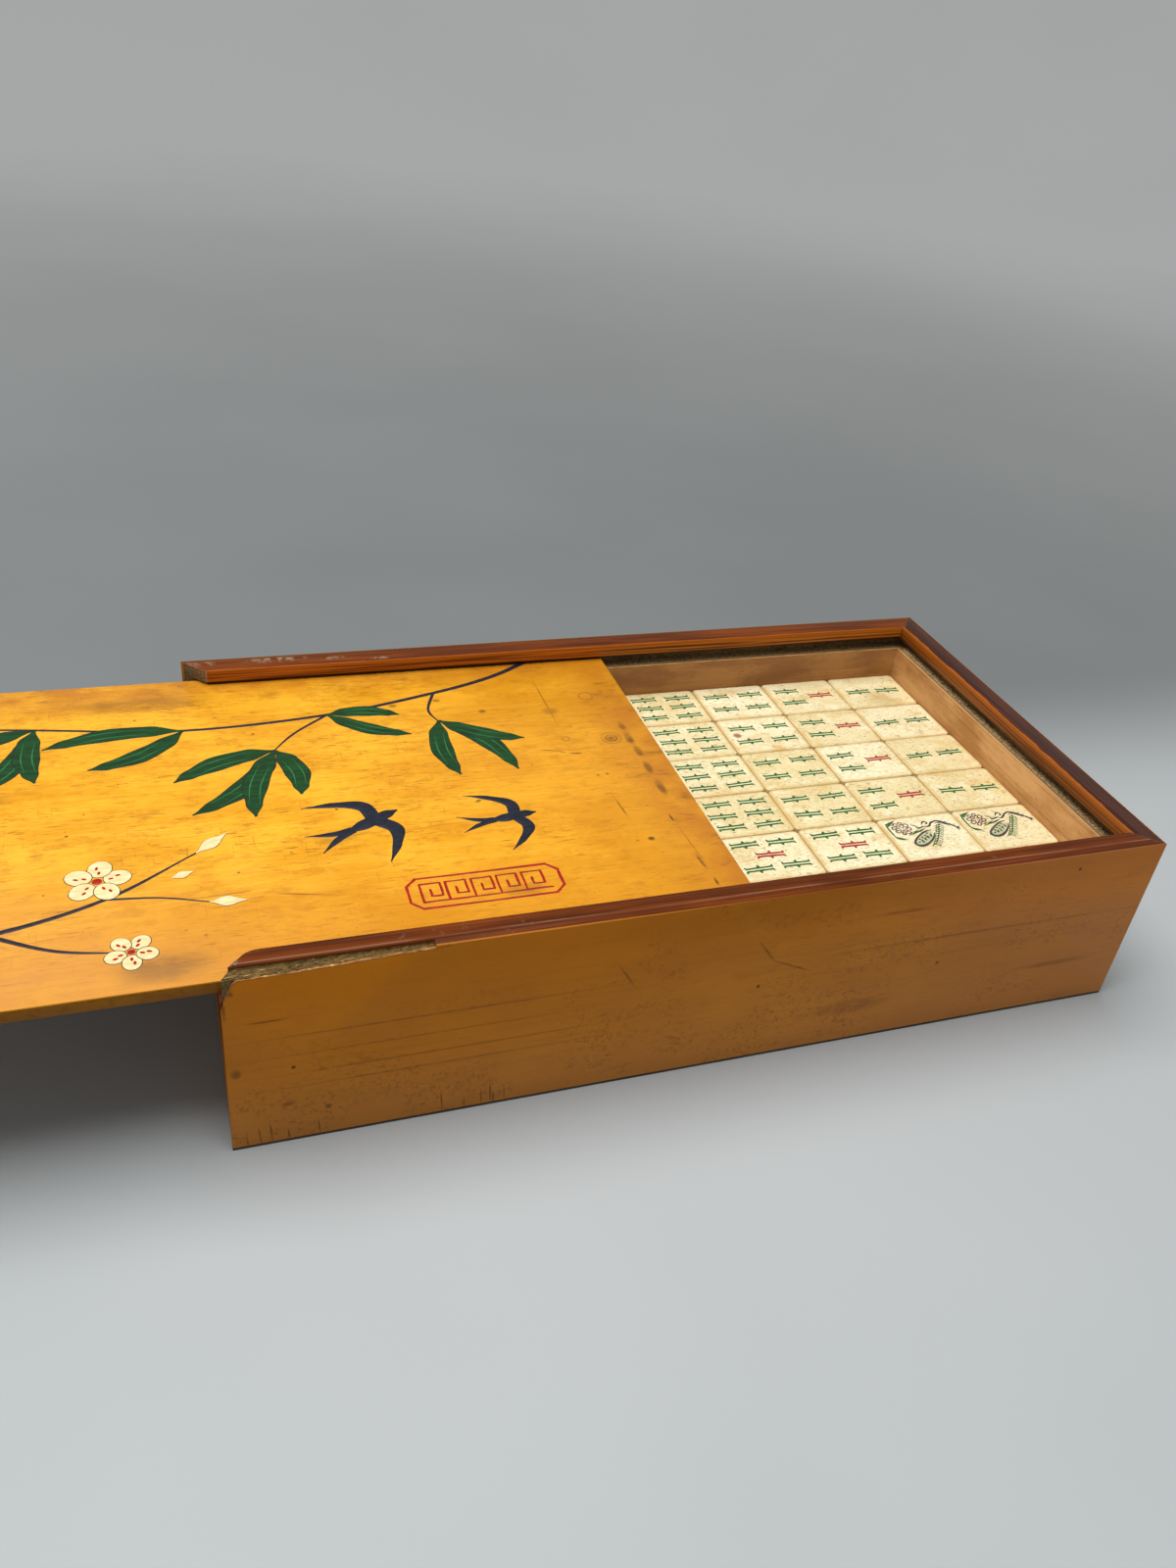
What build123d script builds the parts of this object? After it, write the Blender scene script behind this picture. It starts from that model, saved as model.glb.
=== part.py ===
# A mahjong set in its flat slide-top case.
# Origin at the middle of the case's underside, X along the case towards its closed end, Y to the back, Z up.
# The lid stands where it is half drawn out over the low left end. All sizes are in millimetres.

from build123d import *
import os

os.makedirs("parts", exist_ok=True)

# Tiles: a bone face dovetailed along its length into a bamboo back, lying face up with the long side along X
tile_length = 30.0
tile_width = 23.3
tile_thickness = 12.8
bone_thickness = 4.6
tile_corner_radius = 1.8
dovetail_neck = 9.0
dovetail_flare = 1.6
dovetail_depth = 2.6
tile_gap = 0.2

# How the set is stored: full layers below, and a top layer pushed against the closed end
tile_columns = 9
tile_rows = 6
full_layers = 2
stored_top_columns = 3

# Case walls, from the outside in
veneer_thickness = 0.7
core_thickness = 2.6
liner_thickness = 5.1
rim_width = 7.9
cap_thickness = 0.8

# Case heights, from the underside up
base_edge = 1.0
base_thickness = 4.2
headroom = 12.3
lip_thickness = 4.9

# Lid: a panel with a veneered top that slides in the grooves, and a rail that closes the open end of the rim
lid_panel_thickness = 3.4
lid_veneer_thickness = 0.6
lid_lift_play = 0.5
lid_side_play = 0.8
lid_end_gap = 0.5
rail_gap = 0.2
mitre_gap = 0.3
lid_open = 134.5

# Old damage at the front left: a strip split off the top edge, and the veneer's torn outline,
# as distances from the left end and below the top
chip_length = 54.0
chip_depth = 2.6
chip_drop = 1.9
torn_veneer = [(0, 12.0), (1.1, 8.6), (3.0, 3.7), (4.3, 2.4), (18.0, 2.3), (30.0, 1.8), (43.0, 1.1), (54.0, 0.8)]

# Old wear beside it: the round on the front lip's inner corner at the open end
corner_wear = 5.5

# Two dice in the well beside the top layer, as distances of their middles from the well's front left corner
die_size = 10.0
die_edge = 0.9
dice_places = [(24.0, 42.0, 18.0), (41.0, 55.0, -34.0)]

# The top layer's loose columns, counted from the closed end, each from the back row to the front
loose_columns = [
    ["two_bamboo"] * 4 + ["bird"] * 2,
    ["three_bamboo"] * 4 + ["bird"] * 2,
    ["four_bamboo"] * 4 + ["five_bamboo"] * 2,
]

# Sizes that follow
inner_length = tile_columns * tile_length + (tile_columns + 1) * tile_gap
inner_width = tile_rows * tile_width + (tile_rows + 1) * tile_gap
groove_depth = veneer_thickness + core_thickness
wall_thickness = groove_depth + liner_thickness
half_length = inner_length / 2 + wall_thickness
half_width = inner_width / 2 + wall_thickness
top_layer_floor = base_thickness + full_layers * tile_thickness
sill = top_layer_floor + tile_thickness + headroom
lid_top = sill + lid_panel_thickness + lid_veneer_thickness
lip_underside = lid_top + lid_lift_play
case_height = lip_underside + lip_thickness
core_top = case_height - cap_thickness
cut_margin = 1.0

SIDES = ["front", "right", "back", "left"]
UP = (0, 0, 1)
parts = {}


def block(x0, x1, y0, y1, z0, z1):
    """A board given by its limits."""
    middle = Pos((x0 + x1) / 2, (y0 + y1) / 2, (z0 + z1) / 2)
    return middle * Box(x1 - x0, y1 - y0, z1 - z0)


def corner_points(depth):
    """The four plan corners of the case at a depth in from its outside, from front left anticlockwise."""
    x = half_length - depth
    y = half_width - depth
    return [Vector(-x, -y), Vector(x, -y), Vector(x, y), Vector(-x, y)]


def mitred_strip(side, outer, inner, low, high, gap=0.0):
    """A strip of one side between two depths, cut at 45 degrees at both ends and held short by a gap."""
    start = SIDES.index(side)
    end = (start + 1) % len(SIDES)
    far = corner_points(outer)
    near = corner_points(inner)
    along = (far[end] - far[start]).normalized() * gap
    outline = Polyline(far[start] + along, far[end] - along, near[end] - along, near[start] + along, close=True)
    return Pos(0, 0, low) * extrude(make_face(outline), amount=high - low, dir=UP)


def rim_cap(side, gap=0.0):
    """The thin rim of one side: a slip over the wall's top, turned down over the lip's inner face."""
    slip = mitred_strip(side, veneer_thickness, rim_width, core_top, case_height, gap)
    apron = mitred_strip(side, rim_width - cap_thickness, rim_width, lip_underside, core_top, gap)
    return slip + apron


def grooved_core(side):
    """A wall's board, ploughed above the liner so that its lip overhangs the lid's groove."""
    leaf = mitred_strip(side, veneer_thickness, groove_depth, base_edge, core_top)
    lip = mitred_strip(side, groove_depth, rim_width - cap_thickness, lip_underside, core_top)
    return leaf + lip


def split_edge():
    """The strip that has split off the front wall's top edge, at its left end."""
    outer_face = -half_width
    outline = Polyline(
        (outer_face - cut_margin, case_height - chip_drop - cut_margin),
        (outer_face + chip_depth, core_top - (chip_drop - cap_thickness) / 2),
        (outer_face + chip_depth, case_height + cut_margin),
        (outer_face - cut_margin, case_height + cut_margin),
        close=True,
    )
    start = Plane.YZ.offset(-half_length - cut_margin)
    return extrude(start * make_face(outline), amount=chip_length + cut_margin)


def torn_strip():
    """What is missing of the front veneer, cut square through its thickness."""
    edge = [(-half_length + x, case_height - drop) for x, drop in torn_veneer]
    above = [(edge[-1][0], case_height + cut_margin), (edge[0][0] - cut_margin, case_height + cut_margin)]
    below = [(edge[0][0] - cut_margin, edge[0][1])]
    face = make_face(Polyline(*edge, *above, *below, close=True))
    start = Plane.XZ.offset(half_width + cut_margin)
    return extrude(start * face, amount=-(veneer_thickness + cut_margin))


def worn_corner():
    """What handling has taken off the front lip's inner corner at the open end, outside its round."""
    corner = corner_points(rim_width)[0]
    reach = corner_wear * (2**0.5 - 1)
    on_mitre = corner - Vector(1, 1).normalized() * reach
    on_side = corner + Vector(reach, 0)
    waste = make_face(Polyline(corner, on_mitre, on_side, close=True))
    waste -= Pos(on_side.X, on_side.Y - corner_wear) * Circle(corner_wear)
    return Pos(0, 0, lip_underside) * extrude(waste, amount=lip_thickness, dir=UP)


def case_parts():
    """The fixed case: base, four mitred walls with veneer outside and a liner inside, and three rim caps."""
    in_x = half_length - groove_depth
    in_y = half_width - groove_depth
    base = block(-half_length, half_length, -half_width, half_width, 0, base_edge)
    parts["base_panel"] = base + block(-in_x, in_x, -in_y, in_y, base_edge, base_thickness)

    for side in ["front", "right", "back"]:
        parts[side + "_wall"] = grooved_core(side)
        parts[side + "_veneer"] = mitred_strip(side, 0, veneer_thickness, base_edge, case_height)
        parts[side + "_rim"] = rim_cap(side)
    parts["left_wall"] = mitred_strip("left", veneer_thickness, groove_depth, base_edge, sill)
    parts["left_veneer"] = mitred_strip("left", 0, veneer_thickness, base_edge, sill)

    parts["front_wall"] -= split_edge() + worn_corner()
    parts["front_rim"] -= split_edge() + worn_corner()
    parts["front_veneer"] -= torn_strip()

    mid_x = inner_length / 2
    mid_y = inner_width / 2
    parts["front_liner"] = block(-in_x, in_x, -in_y, -mid_y, base_thickness, sill)
    parts["back_liner"] = block(-in_x, in_x, mid_y, in_y, base_thickness, sill)
    parts["right_liner"] = block(mid_x, in_x, -mid_y, mid_y, base_thickness, sill)
    parts["left_liner"] = block(-in_x, -mid_x, -mid_y, mid_y, base_thickness, sill)


def lid_parts():
    """The sliding lid, drawn out to the left by lid_open: panel, veneer, and the rail with its veneer and cap."""
    drawn = Pos(-lid_open, 0, 0)
    left = -half_length + groove_depth
    right = half_length - groove_depth - lid_end_gap
    side = half_width - groove_depth - lid_side_play
    panel_top = sill + lid_panel_thickness
    rail_foot = sill + rail_gap
    rail = mitred_strip("left", veneer_thickness, groove_depth, rail_foot, core_top, mitre_gap)
    rail += mitred_strip("left", groove_depth, rim_width - cap_thickness, lid_top, core_top, mitre_gap)
    cap = mitred_strip("left", veneer_thickness, rim_width, core_top, case_height, mitre_gap)
    cap += mitred_strip("left", rim_width - cap_thickness, rim_width, lid_top, core_top, mitre_gap)
    parts["lid_panel"] = drawn * block(left, right, -side, side, sill, panel_top)
    parts["lid_veneer"] = drawn * block(left, right, -side, side, panel_top, lid_top)
    parts["lid_end_rail"] = drawn * rail
    parts["lid_end_veneer"] = drawn * mitred_strip("left", 0, veneer_thickness, rail_foot, case_height, mitre_gap)
    parts["lid_end_rim"] = drawn * cap


def tile_prism(outline):
    """A tile half: its end outline in YZ run along the tile."""
    start = Plane.YZ.offset(-tile_length / 2)
    return extrude(start * make_face(Polyline(*outline, close=True)), amount=tile_length)


def rounded(half):
    """A tile half with its upright corners rounded."""
    return fillet(half.edges().filter_by(Axis.Z), tile_corner_radius)


def tile_face():
    """The bone face with the dovetailed tail under it, over the middle of the tile's foot."""
    side = tile_width / 2
    neck = dovetail_neck / 2
    joint = tile_thickness - bone_thickness
    tail = [(-neck, joint), (-neck - dovetail_flare, joint - dovetail_depth)]
    tail += [(-y, z) for y, z in reversed(tail)]
    return tile_prism([(-side, tile_thickness), (-side, joint), *tail, (side, joint), (side, tile_thickness)])


def tile_back():
    """The bamboo back with the dovetailed slot that the tail slides into."""
    side = tile_width / 2
    neck = dovetail_neck / 2
    joint = tile_thickness - bone_thickness
    slot = [(neck, joint), (neck + dovetail_flare, joint - dovetail_depth)]
    slot += [(-y, z) for y, z in reversed(slot)]
    return tile_prism([(-side, 0), (side, 0), (side, joint), *slot, (-side, joint)])


def tile_place(column, row, floor):
    """Where a tile stands: columns counted from the closed end, rows from the back."""
    x = inner_length / 2 - tile_gap - tile_length / 2 - column * (tile_length + tile_gap)
    y = inner_width / 2 - tile_gap - tile_width / 2 - row * (tile_width + tile_gap)
    return Pos(x, y, floor)


def tile_parts():
    """The set: loose tiles of the top layer one by one, and the rest as one group of faces and one of backs."""
    face = rounded(tile_face())
    square_back = tile_back()
    back = rounded(square_back)
    numbers = {}
    for column, suits in enumerate(loose_columns):
        for row, suit in enumerate(suits):
            numbers[suit] = numbers.get(suit, 0) + 1
            name = suit + "_" + str(numbers[suit])
            place = tile_place(column, row, top_layer_floor)
            parts[name + "_face"] = place * face
            parts[name + "_back"] = place * back

    joint = tile_thickness - bone_thickness
    plain_face = block(-tile_length / 2, tile_length / 2, -tile_width / 2, tile_width / 2, joint, tile_thickness)
    plain_back = block(-tile_length / 2, tile_length / 2, -tile_width / 2, tile_width / 2, 0, joint)
    faces = []
    backs = []
    for layer in range(full_layers):
        for column in range(tile_columns):
            for row in range(tile_rows):
                place = tile_place(column, row, base_thickness + layer * tile_thickness)
                faces.append(place * plain_face)
                backs.append(place * plain_back)
    for column in range(len(loose_columns), len(loose_columns) + stored_top_columns):
        for row in range(tile_rows):
            place = tile_place(column, row, top_layer_floor)
            faces.append(place * face)
            backs.append(place * square_back)
    parts["stored_tile_faces"] = Compound(children=faces)
    parts["stored_tile_backs"] = Compound(children=backs)


def dice():
    """The pair of dice, lying in the well on the layer below."""
    die = chamfer(Box(die_size, die_size, die_size).edges(), die_edge)
    placed = []
    for x, y, turn in dice_places:
        corner = Pos(-inner_length / 2 + x, -inner_width / 2 + y, top_layer_floor + die_size / 2)
        placed.append(corner * Rot(0, 0, turn) * die)
    return Compound(children=placed)


case_parts()
lid_parts()
tile_parts()
parts["dice"] = dice()

for name, shape in parts.items():
    shape.label = name
    export_step(shape, "parts/" + name + ".step")

print("case", round(2 * half_length, 2), round(2 * half_width, 2), round(case_height, 2), "nodes", len(parts))
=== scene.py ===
import math
import random

import bpy
from mathutils import Matrix, Vector, noise
from mathutils.geometry import delaunay_2d_cdt


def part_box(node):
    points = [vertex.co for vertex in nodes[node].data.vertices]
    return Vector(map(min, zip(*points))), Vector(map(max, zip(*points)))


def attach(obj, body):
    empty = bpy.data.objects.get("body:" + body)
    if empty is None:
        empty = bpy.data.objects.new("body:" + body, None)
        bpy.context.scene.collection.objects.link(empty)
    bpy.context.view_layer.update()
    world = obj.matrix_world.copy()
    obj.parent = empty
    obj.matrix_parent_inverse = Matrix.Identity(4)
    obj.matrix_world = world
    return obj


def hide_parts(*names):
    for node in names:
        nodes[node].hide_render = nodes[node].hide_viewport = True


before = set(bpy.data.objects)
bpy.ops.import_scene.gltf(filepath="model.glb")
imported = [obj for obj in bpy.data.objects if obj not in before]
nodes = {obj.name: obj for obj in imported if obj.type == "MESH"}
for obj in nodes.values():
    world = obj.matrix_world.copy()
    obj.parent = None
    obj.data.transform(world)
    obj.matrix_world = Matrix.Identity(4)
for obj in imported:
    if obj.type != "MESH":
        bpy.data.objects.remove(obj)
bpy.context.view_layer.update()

# A mahjong set in its slide-top case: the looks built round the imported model.
# Sizes and places below are in millimetres, in the model's own frame, unless a name says otherwise.

MM = 0.001


def box_mm(node):
    """Lowest and highest corners of a node in millimetres."""
    low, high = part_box(node)
    return low / MM, high / MM


def tone(code):
    """A linear colour from a screen colour written as six hex digits."""
    parts = [int(code[i:i + 2], 16) / 255 for i in (0, 2, 4)]
    linear = [c / 12.92 if c <= 0.04045 else ((c + 0.055) / 1.055) ** 2.4 for c in parts]
    return (*linear, 1.0)


# Sizes read from the model

half_length, half_width, _ = box_mm("base_panel")[1]
rim_low, rim_high = box_mm("back_rim")
case_top = rim_high.z
rim_width = half_width - rim_low.y
cap_thickness = case_top - box_mm("back_wall")[1].z
sill = box_mm("right_liner")[1].z
liner_inner_x = box_mm("right_liner")[0].x
liner_inner_y = box_mm("back_liner")[0].y
lid_high = box_mm("lid_veneer")[1]
lid_top = lid_high.z
groove_roof = lid_top + 0.5
tile_low, tile_high = box_mm("two_bamboo_1_face")
tile_middle = (tile_low + tile_high) / 2
tile_length = tile_high.x - tile_low.x
tile_width = tile_high.y - tile_low.y
tile_top = tile_high.z
tile_joint = box_mm("two_bamboo_1_back")[1].z
tile_foot = box_mm("two_bamboo_1_back")[0].z
dovetail_depth = tile_joint - tile_low.z
column_pitch = tile_low.x - box_mm("three_bamboo_1_face")[0].x
row_pitch = tile_low.y - box_mm("two_bamboo_2_face")[0].y
tile_thickness = tile_top - tile_foot


class Paint:
    """A node material, built round its own shader."""

    def __init__(self, name, **sockets):
        self.material = bpy.data.materials.new(name)
        self.material.use_nodes = True
        self.tree = self.material.node_tree
        self.shader = self.tree.nodes["Principled BSDF"]
        self.coords = self.node("TexCoord").outputs["Object"]
        split = self.node("SeparateXYZ", {0: self.coords})
        self.x, self.y, self.z = split.outputs
        self.colour = None
        for socket, value in sockets.items():
            self.set(socket.replace("_", " "), value)

    def node(self, kind, inputs=(), **settings):
        made = self.tree.nodes.new("ShaderNode" + kind)
        for setting, value in settings.items():
            setattr(made, setting, value)
        for socket, value in dict(inputs).items():
            if isinstance(value, bpy.types.NodeSocket):
                self.tree.links.new(value, made.inputs[socket])
            else:
                made.inputs[socket].default_value = value
        return made

    def set(self, socket, value):
        """Gives the shader's socket a value, or links something to it."""
        if isinstance(value, bpy.types.NodeSocket):
            self.tree.links.new(value, self.shader.inputs[socket])
        else:
            self.shader.inputs[socket].default_value = value

    def scaled(self, size, shift):
        """Coordinates counted in cells of a size in millimetres, moved along by some cells."""
        inputs = {0: self.coords, 1: [1 / (s * MM) for s in size], 2: (shift,) * 3}
        return self.node("VectorMath", inputs, operation="MULTIPLY_ADD").outputs[0]

    def grain(self, size, detail=2.0, roughness=0.5, shift=0.0, distortion=0.0):
        """Noise from 0 to 1 with spots of about that size along x, y and z, in millimetres."""
        inputs = {"Vector": self.scaled(size, shift), "Scale": 1.0, "Detail": detail, "Roughness": roughness}
        inputs["Distortion"] = distortion
        return self.node("TexNoise", inputs).outputs[0]

    def specks(self, size, share, reach, shift=0.0):
        """1 at scattered dots: one in a share of the cells, each dot as wide as a part of its cell."""
        cell = self.node("TexVoronoi", {"Vector": self.scaled(size, shift), "Scale": 1.0})
        pick = self.node("SeparateXYZ", {0: cell.outputs["Color"]})
        chosen = self.ease(pick.outputs[0], share, share * 0.8)
        wide = self.math("MULTIPLY", pick.outputs[1], reach)
        dot = self.ease(self.math("SUBTRACT", wide, cell.outputs["Distance"]), 0.0, reach * 0.35)
        return self.math("MULTIPLY", chosen, dot)

    def ease(self, value, low, high, start=0.0, end=1.0):
        """Smooth step of a value between two levels, which may run down."""
        inputs = {"Value": value, "From Min": low, "From Max": high, "To Min": start, "To Max": end}
        return self.node("MapRange", inputs, interpolation_type="SMOOTHSTEP").outputs[0]

    def math(self, operation, a, b=0.0, c=0.0):
        return self.node("Math", {0: a, 1: b, 2: c}, operation=operation).outputs[0]

    def mix(self, amount, a, b):
        """Colour b laid over colour a by an amount from 0 to 1."""
        inputs = {0: amount, 6: a, 7: b}
        return self.node("Mix", inputs, data_type="RGBA").outputs[2]

    def all_of(self, *masks):
        """Masks multiplied together."""
        result = masks[0]
        for mask in masks[1:]:
            result = self.math("MULTIPLY", result, mask)
        return result

    def any_of(self, *masks):
        """The greatest of some masks."""
        result = masks[0]
        for mask in masks[1:]:
            result = self.math("MAXIMUM", result, mask)
        return result

    def near(self, value, place, width, soft):
        """1 where a coordinate is within a width of a place, fading over a soft margin, in millimetres."""
        away = self.math("ABSOLUTE", self.math("SUBTRACT", value, place * MM))
        return self.ease(away, (width + soft) * MM, width * MM)

    def distance(self, place):
        """How far a point of the surface is from a place in millimetres."""
        inputs = {0: self.coords, 1: [p * MM for p in place]}
        return self.node("VectorMath", inputs, operation="DISTANCE").outputs["Value"]

    def spot(self, place, radius, soft):
        """1 within a radius of a point, fading over a soft margin, in millimetres."""
        return self.ease(self.distance(place), (radius + soft) * MM, max(radius - soft, 0) * MM)

    def halo(self, place, radius, half):
        """1 on a ring of a radius about a point, fading over its half width, in millimetres."""
        off = self.math("ABSOLUTE", self.math("SUBTRACT", self.distance(place), radius * MM))
        return self.ease(off, half * MM, 0.0)

    def blot(self, place, size, turn=(0, 0, 0), soft=0.5):
        """1 within an ellipse of half sizes about a point, turned by degrees, fading over a share of it."""
        inputs = {"Vector": self.coords, "Location": [p * MM for p in place]}
        inputs["Rotation"] = [math.radians(t) for t in turn]
        inputs["Scale"] = [s * MM for s in size]
        moved = self.node("Mapping", inputs, vector_type="TEXTURE")
        away = self.node("VectorMath", {0: moved.outputs[0]}, operation="LENGTH").outputs["Value"]
        return self.ease(away, 1 + soft, 1 - soft)

    def ground(self, first, second, value, low, high):
        """Starts the colour: a first tone that turns into a second between two levels of a value."""
        self.colour = self.mix(self.ease(value, low, high), tone(first), tone(second))

    def over(self, code, mask, strength=None):
        """Lays a tone over the colour where a mask is, at a strength that may be a mask too."""
        if strength is not None:
            mask = self.math("MULTIPLY", mask, strength)
        self.colour = self.mix(mask, self.colour, tone(code))

    def lay(self, code, value, low, high, most=1.0, least=0.0):
        """Lays a tone over the colour, more and more as a value goes from one level to another."""
        self.over(code, self.ease(value, low, high, least, most))

    def marks(self, code, blots, marks, rough):
        """Lays marks of one tone over the colour, at the strength that ends each row, broken by a noise."""
        strong = [self.math("MULTIPLY", blot, mark[-1]) for blot, mark in zip(blots, marks)]
        self.over(code, self.any_of(*strong), rough)

    def finished(self):
        """The material, once its colour is laid."""
        self.set("Base Color", self.colour)
        return self.material

    def bump(self, height, depth, strength=1.0):
        """Adds relief of a depth in millimetres to what the shader's normal has already."""
        inputs = {"Height": height, "Distance": depth * MM, "Strength": strength}
        links = self.shader.inputs["Normal"].links
        if links:
            inputs["Normal"] = links[0].from_socket
        self.set("Normal", self.node("Bump", inputs).outputs[0])


def lengthwise(along, length, width, height=None):
    """A noise size drawn out along a board that runs along x or y."""
    height = width if height is None else height
    return (length, width, height) if along == "x" else (width, length, height)


# Pale scuffs on the back rim: place, half sizes and strength
RIM_SCUFFS = [
    (-113, 76.3, 9, 1.6, 0.7), (-92, 75, 5, 1, 0.5),
    (-77.6, 73, 3, 0.8, 0.7), (-138, 76, 4, 1.5, 0.6),
]


# Bamboo board materials

def lid_gold():
    """The lid's varnished bamboo skin: gold, mottled, flecked along the board, browner where it is worn."""
    paint = Paint("lid_gold", Specular_IOR_Level=0.14, Coat_Weight=0.03, Coat_Roughness=0.25)
    clouds = paint.grain((30, 18, 18), detail=4, roughness=0.6)
    paint.ground("cb8b15", "e0a123", clouds, 0.34, 0.68)
    paint.lay("e8b03a", paint.grain((60, 1.6, 9), detail=3, roughness=0.6, shift=3.1), 0.45, 0.75, 0.35)
    dark_bands = paint.grain((35, 0.9, 9), detail=3, roughness=0.65, shift=7.7)
    paint.lay("a86a10", dark_bands, 0.5, 0.8, 0.4)
    mottle = paint.grain((7, 4, 7), detail=4, roughness=0.7, shift=16.0)
    paint.lay("a0660e", mottle, 0.48, 0.7, 0.46)
    patches = paint.grain((26, 22, 20), detail=2, shift=11.3)
    dashes = paint.grain((4.5, 0.32, 3), detail=1, shift=5.9)
    flecks = paint.all_of(paint.ease(dashes, 0.60, 0.72), paint.ease(patches, 0.36, 0.58, 0.2, 1.0))
    paint.over("6e3c0a", flecks, 0.7)
    paint.over("3a1e08", paint.specks((5, 3.5, 3.5), 0.30, 0.16, 2.2), 0.8)
    pores = paint.specks((2.4, 1.5, 2.4), 0.42, 0.17, 9.3)
    paint.over("5a300c", paint.all_of(pores, paint.ease(patches, 0.35, 0.62, 0.25, 1.0)), 0.75)
    paint.lay("c47a08", paint.grain((9, 2.2, 9), detail=5, roughness=0.75, shift=27.0), 0.5, 0.7, 0.4)
    scratches = paint.grain((0.5, 9, 3), detail=1, distortion=0.6, shift=33.0)
    fine = paint.all_of(paint.ease(scratches, 0.66, 0.76), paint.ease(patches, 0.42, 0.6))
    paint.over("6e3c0a", fine, 0.3)
    by_end = paint.ease(paint.x, -100 * MM, -10 * MM, 0, 0.45)
    by_front = paint.ease(paint.y, -24 * MM, -66 * MM, 0, 0.62)
    paint.over("b87410", paint.any_of(by_end, by_front))
    worn = paint.grain((11, 11, 11), detail=3, shift=8.8)
    rub = paint.any_of(paint.near(paint.x, lid_high.x, 1, 26), paint.near(paint.y, lid_high.y, 1, 22))
    paint.over("a8661a", rub, paint.ease(worn, 0.3, 0.65, 0.3, 0.85))
    grease = paint.grain((12, 5, 9), detail=5, roughness=0.7, shift=14.0)
    paint.over("6a3c12", rub, paint.ease(grease, 0.52, 0.7, 0, 0.6))
    broken = paint.ease(grease, 0.30, 0.56, 0.45, 1.0)
    blots = [paint.blot((x, y, lid_top), (u, v, 50), (0, 0, turn)) for x, y, u, v, turn, _ in LID_MARKS]
    paint.marks("3c2410", blots, LID_MARKS, broken)
    rings = [paint.halo((x, y, lid_top), radius, half) for x, y, radius, half, _ in LID_RINGS]
    paint.marks("3c220c", rings, LID_RINGS, broken)
    paint.set("Roughness", paint.ease(clouds, 0.3, 0.7, 0.34, 0.46))
    paint.bump(dark_bands, 0.12, 0.4)
    paint.bump(mottle, 0.25, 0.25)
    paint.bump(clouds, 0.9, 0.2)
    return paint.finished()


# Marks on the lid: place, half sizes, turn in degrees and strength
LID_MARKS = [
    (-2.5, 24, 1.1, 2.6, 0, 0.55), (-2.6, 16, 1.3, 3.4, 0, 0.65), (-2.3, 8, 1.2, 3, 0, 0.6),
    (-2.5, -2, 1.2, 3.2, 0, 0.6), (-2.4, -13.5, 1.2, 4.2, 0, 0.6), (-8.7, 17.2, 1, 1, 0, 0.9),
    (-24.4, 37.3, 2.6, 2.2, 0, 0.35), (-47.9, 40.6, 1.2, 1, 0, 0.7), (-24.5, 43.5, 0.3, 13.5, 0, 0.45),
    (-20.5, -3.6, 0.6, 0.5, 0, 0.8), (-17.3, -3.4, 0.6, 0.5, 0, 0.8), (-19.1, -21.6, 0.35, 5, 5, 0.7),
    (-5.3, -30.1, 0.35, 1.6, 5, 0.8), (-4.6, -52.6, 0.4, 3, 5, 0.8), (-3.8, -62.2, 0.4, 1.6, 0, 0.8),
    (-4.2, -45.5, 0.2, 9.5, 3, 0.5), (-32.7, 13.2, 1.9, 0.3, -8, 0.8), (-28, 11.5, 1.2, 0.3, -27, 0.8),
    (-23.8, 9.9, 2, 0.3, -12, 0.85), (-62.2, -11.1, 1, 0.6, 35, 0.9), (-15.4, -39.2, 1, 0.9, 0, 0.85),
    (-141.7, -41.8, 8, 0.35, 2, 0.5), (-118.5, -45.8, 8, 0.35, -13, 0.5), (-157, 61, 19, 4, 0, 0.4),
    (-77.5, 48.5, 1.3, 1, 0, 0.6), (-62, 50, 1.3, 1, 0, 0.6), (-156, -67, 10, 5, 0, 0.5),
    (-107, -22, 6, 3, 10, 0.3), (-60, -55, 6, 3, 0, 0.3), (-205, 12, 9, 3, 8, 0.3),
    (-244, 40, 5, 2.5, 0, 0.35), (-262, -8, 3, 5, 0, 0.4), (-220, -66, 14, 2.5, 0, 0.35),
]
# Rings round the knots: place, radius, half width and strength
LID_RINGS = [
    (-8.7, 17.2, 1.9, 0.8, 0.75), (-8.7, 17.2, 3.4, 0.6, 0.4),
    (-24.4, 19.1, 1.3, 0.6, 0.45), (-8.75, 45.4, 2.5, 0.6, 0.4),
]


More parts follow.
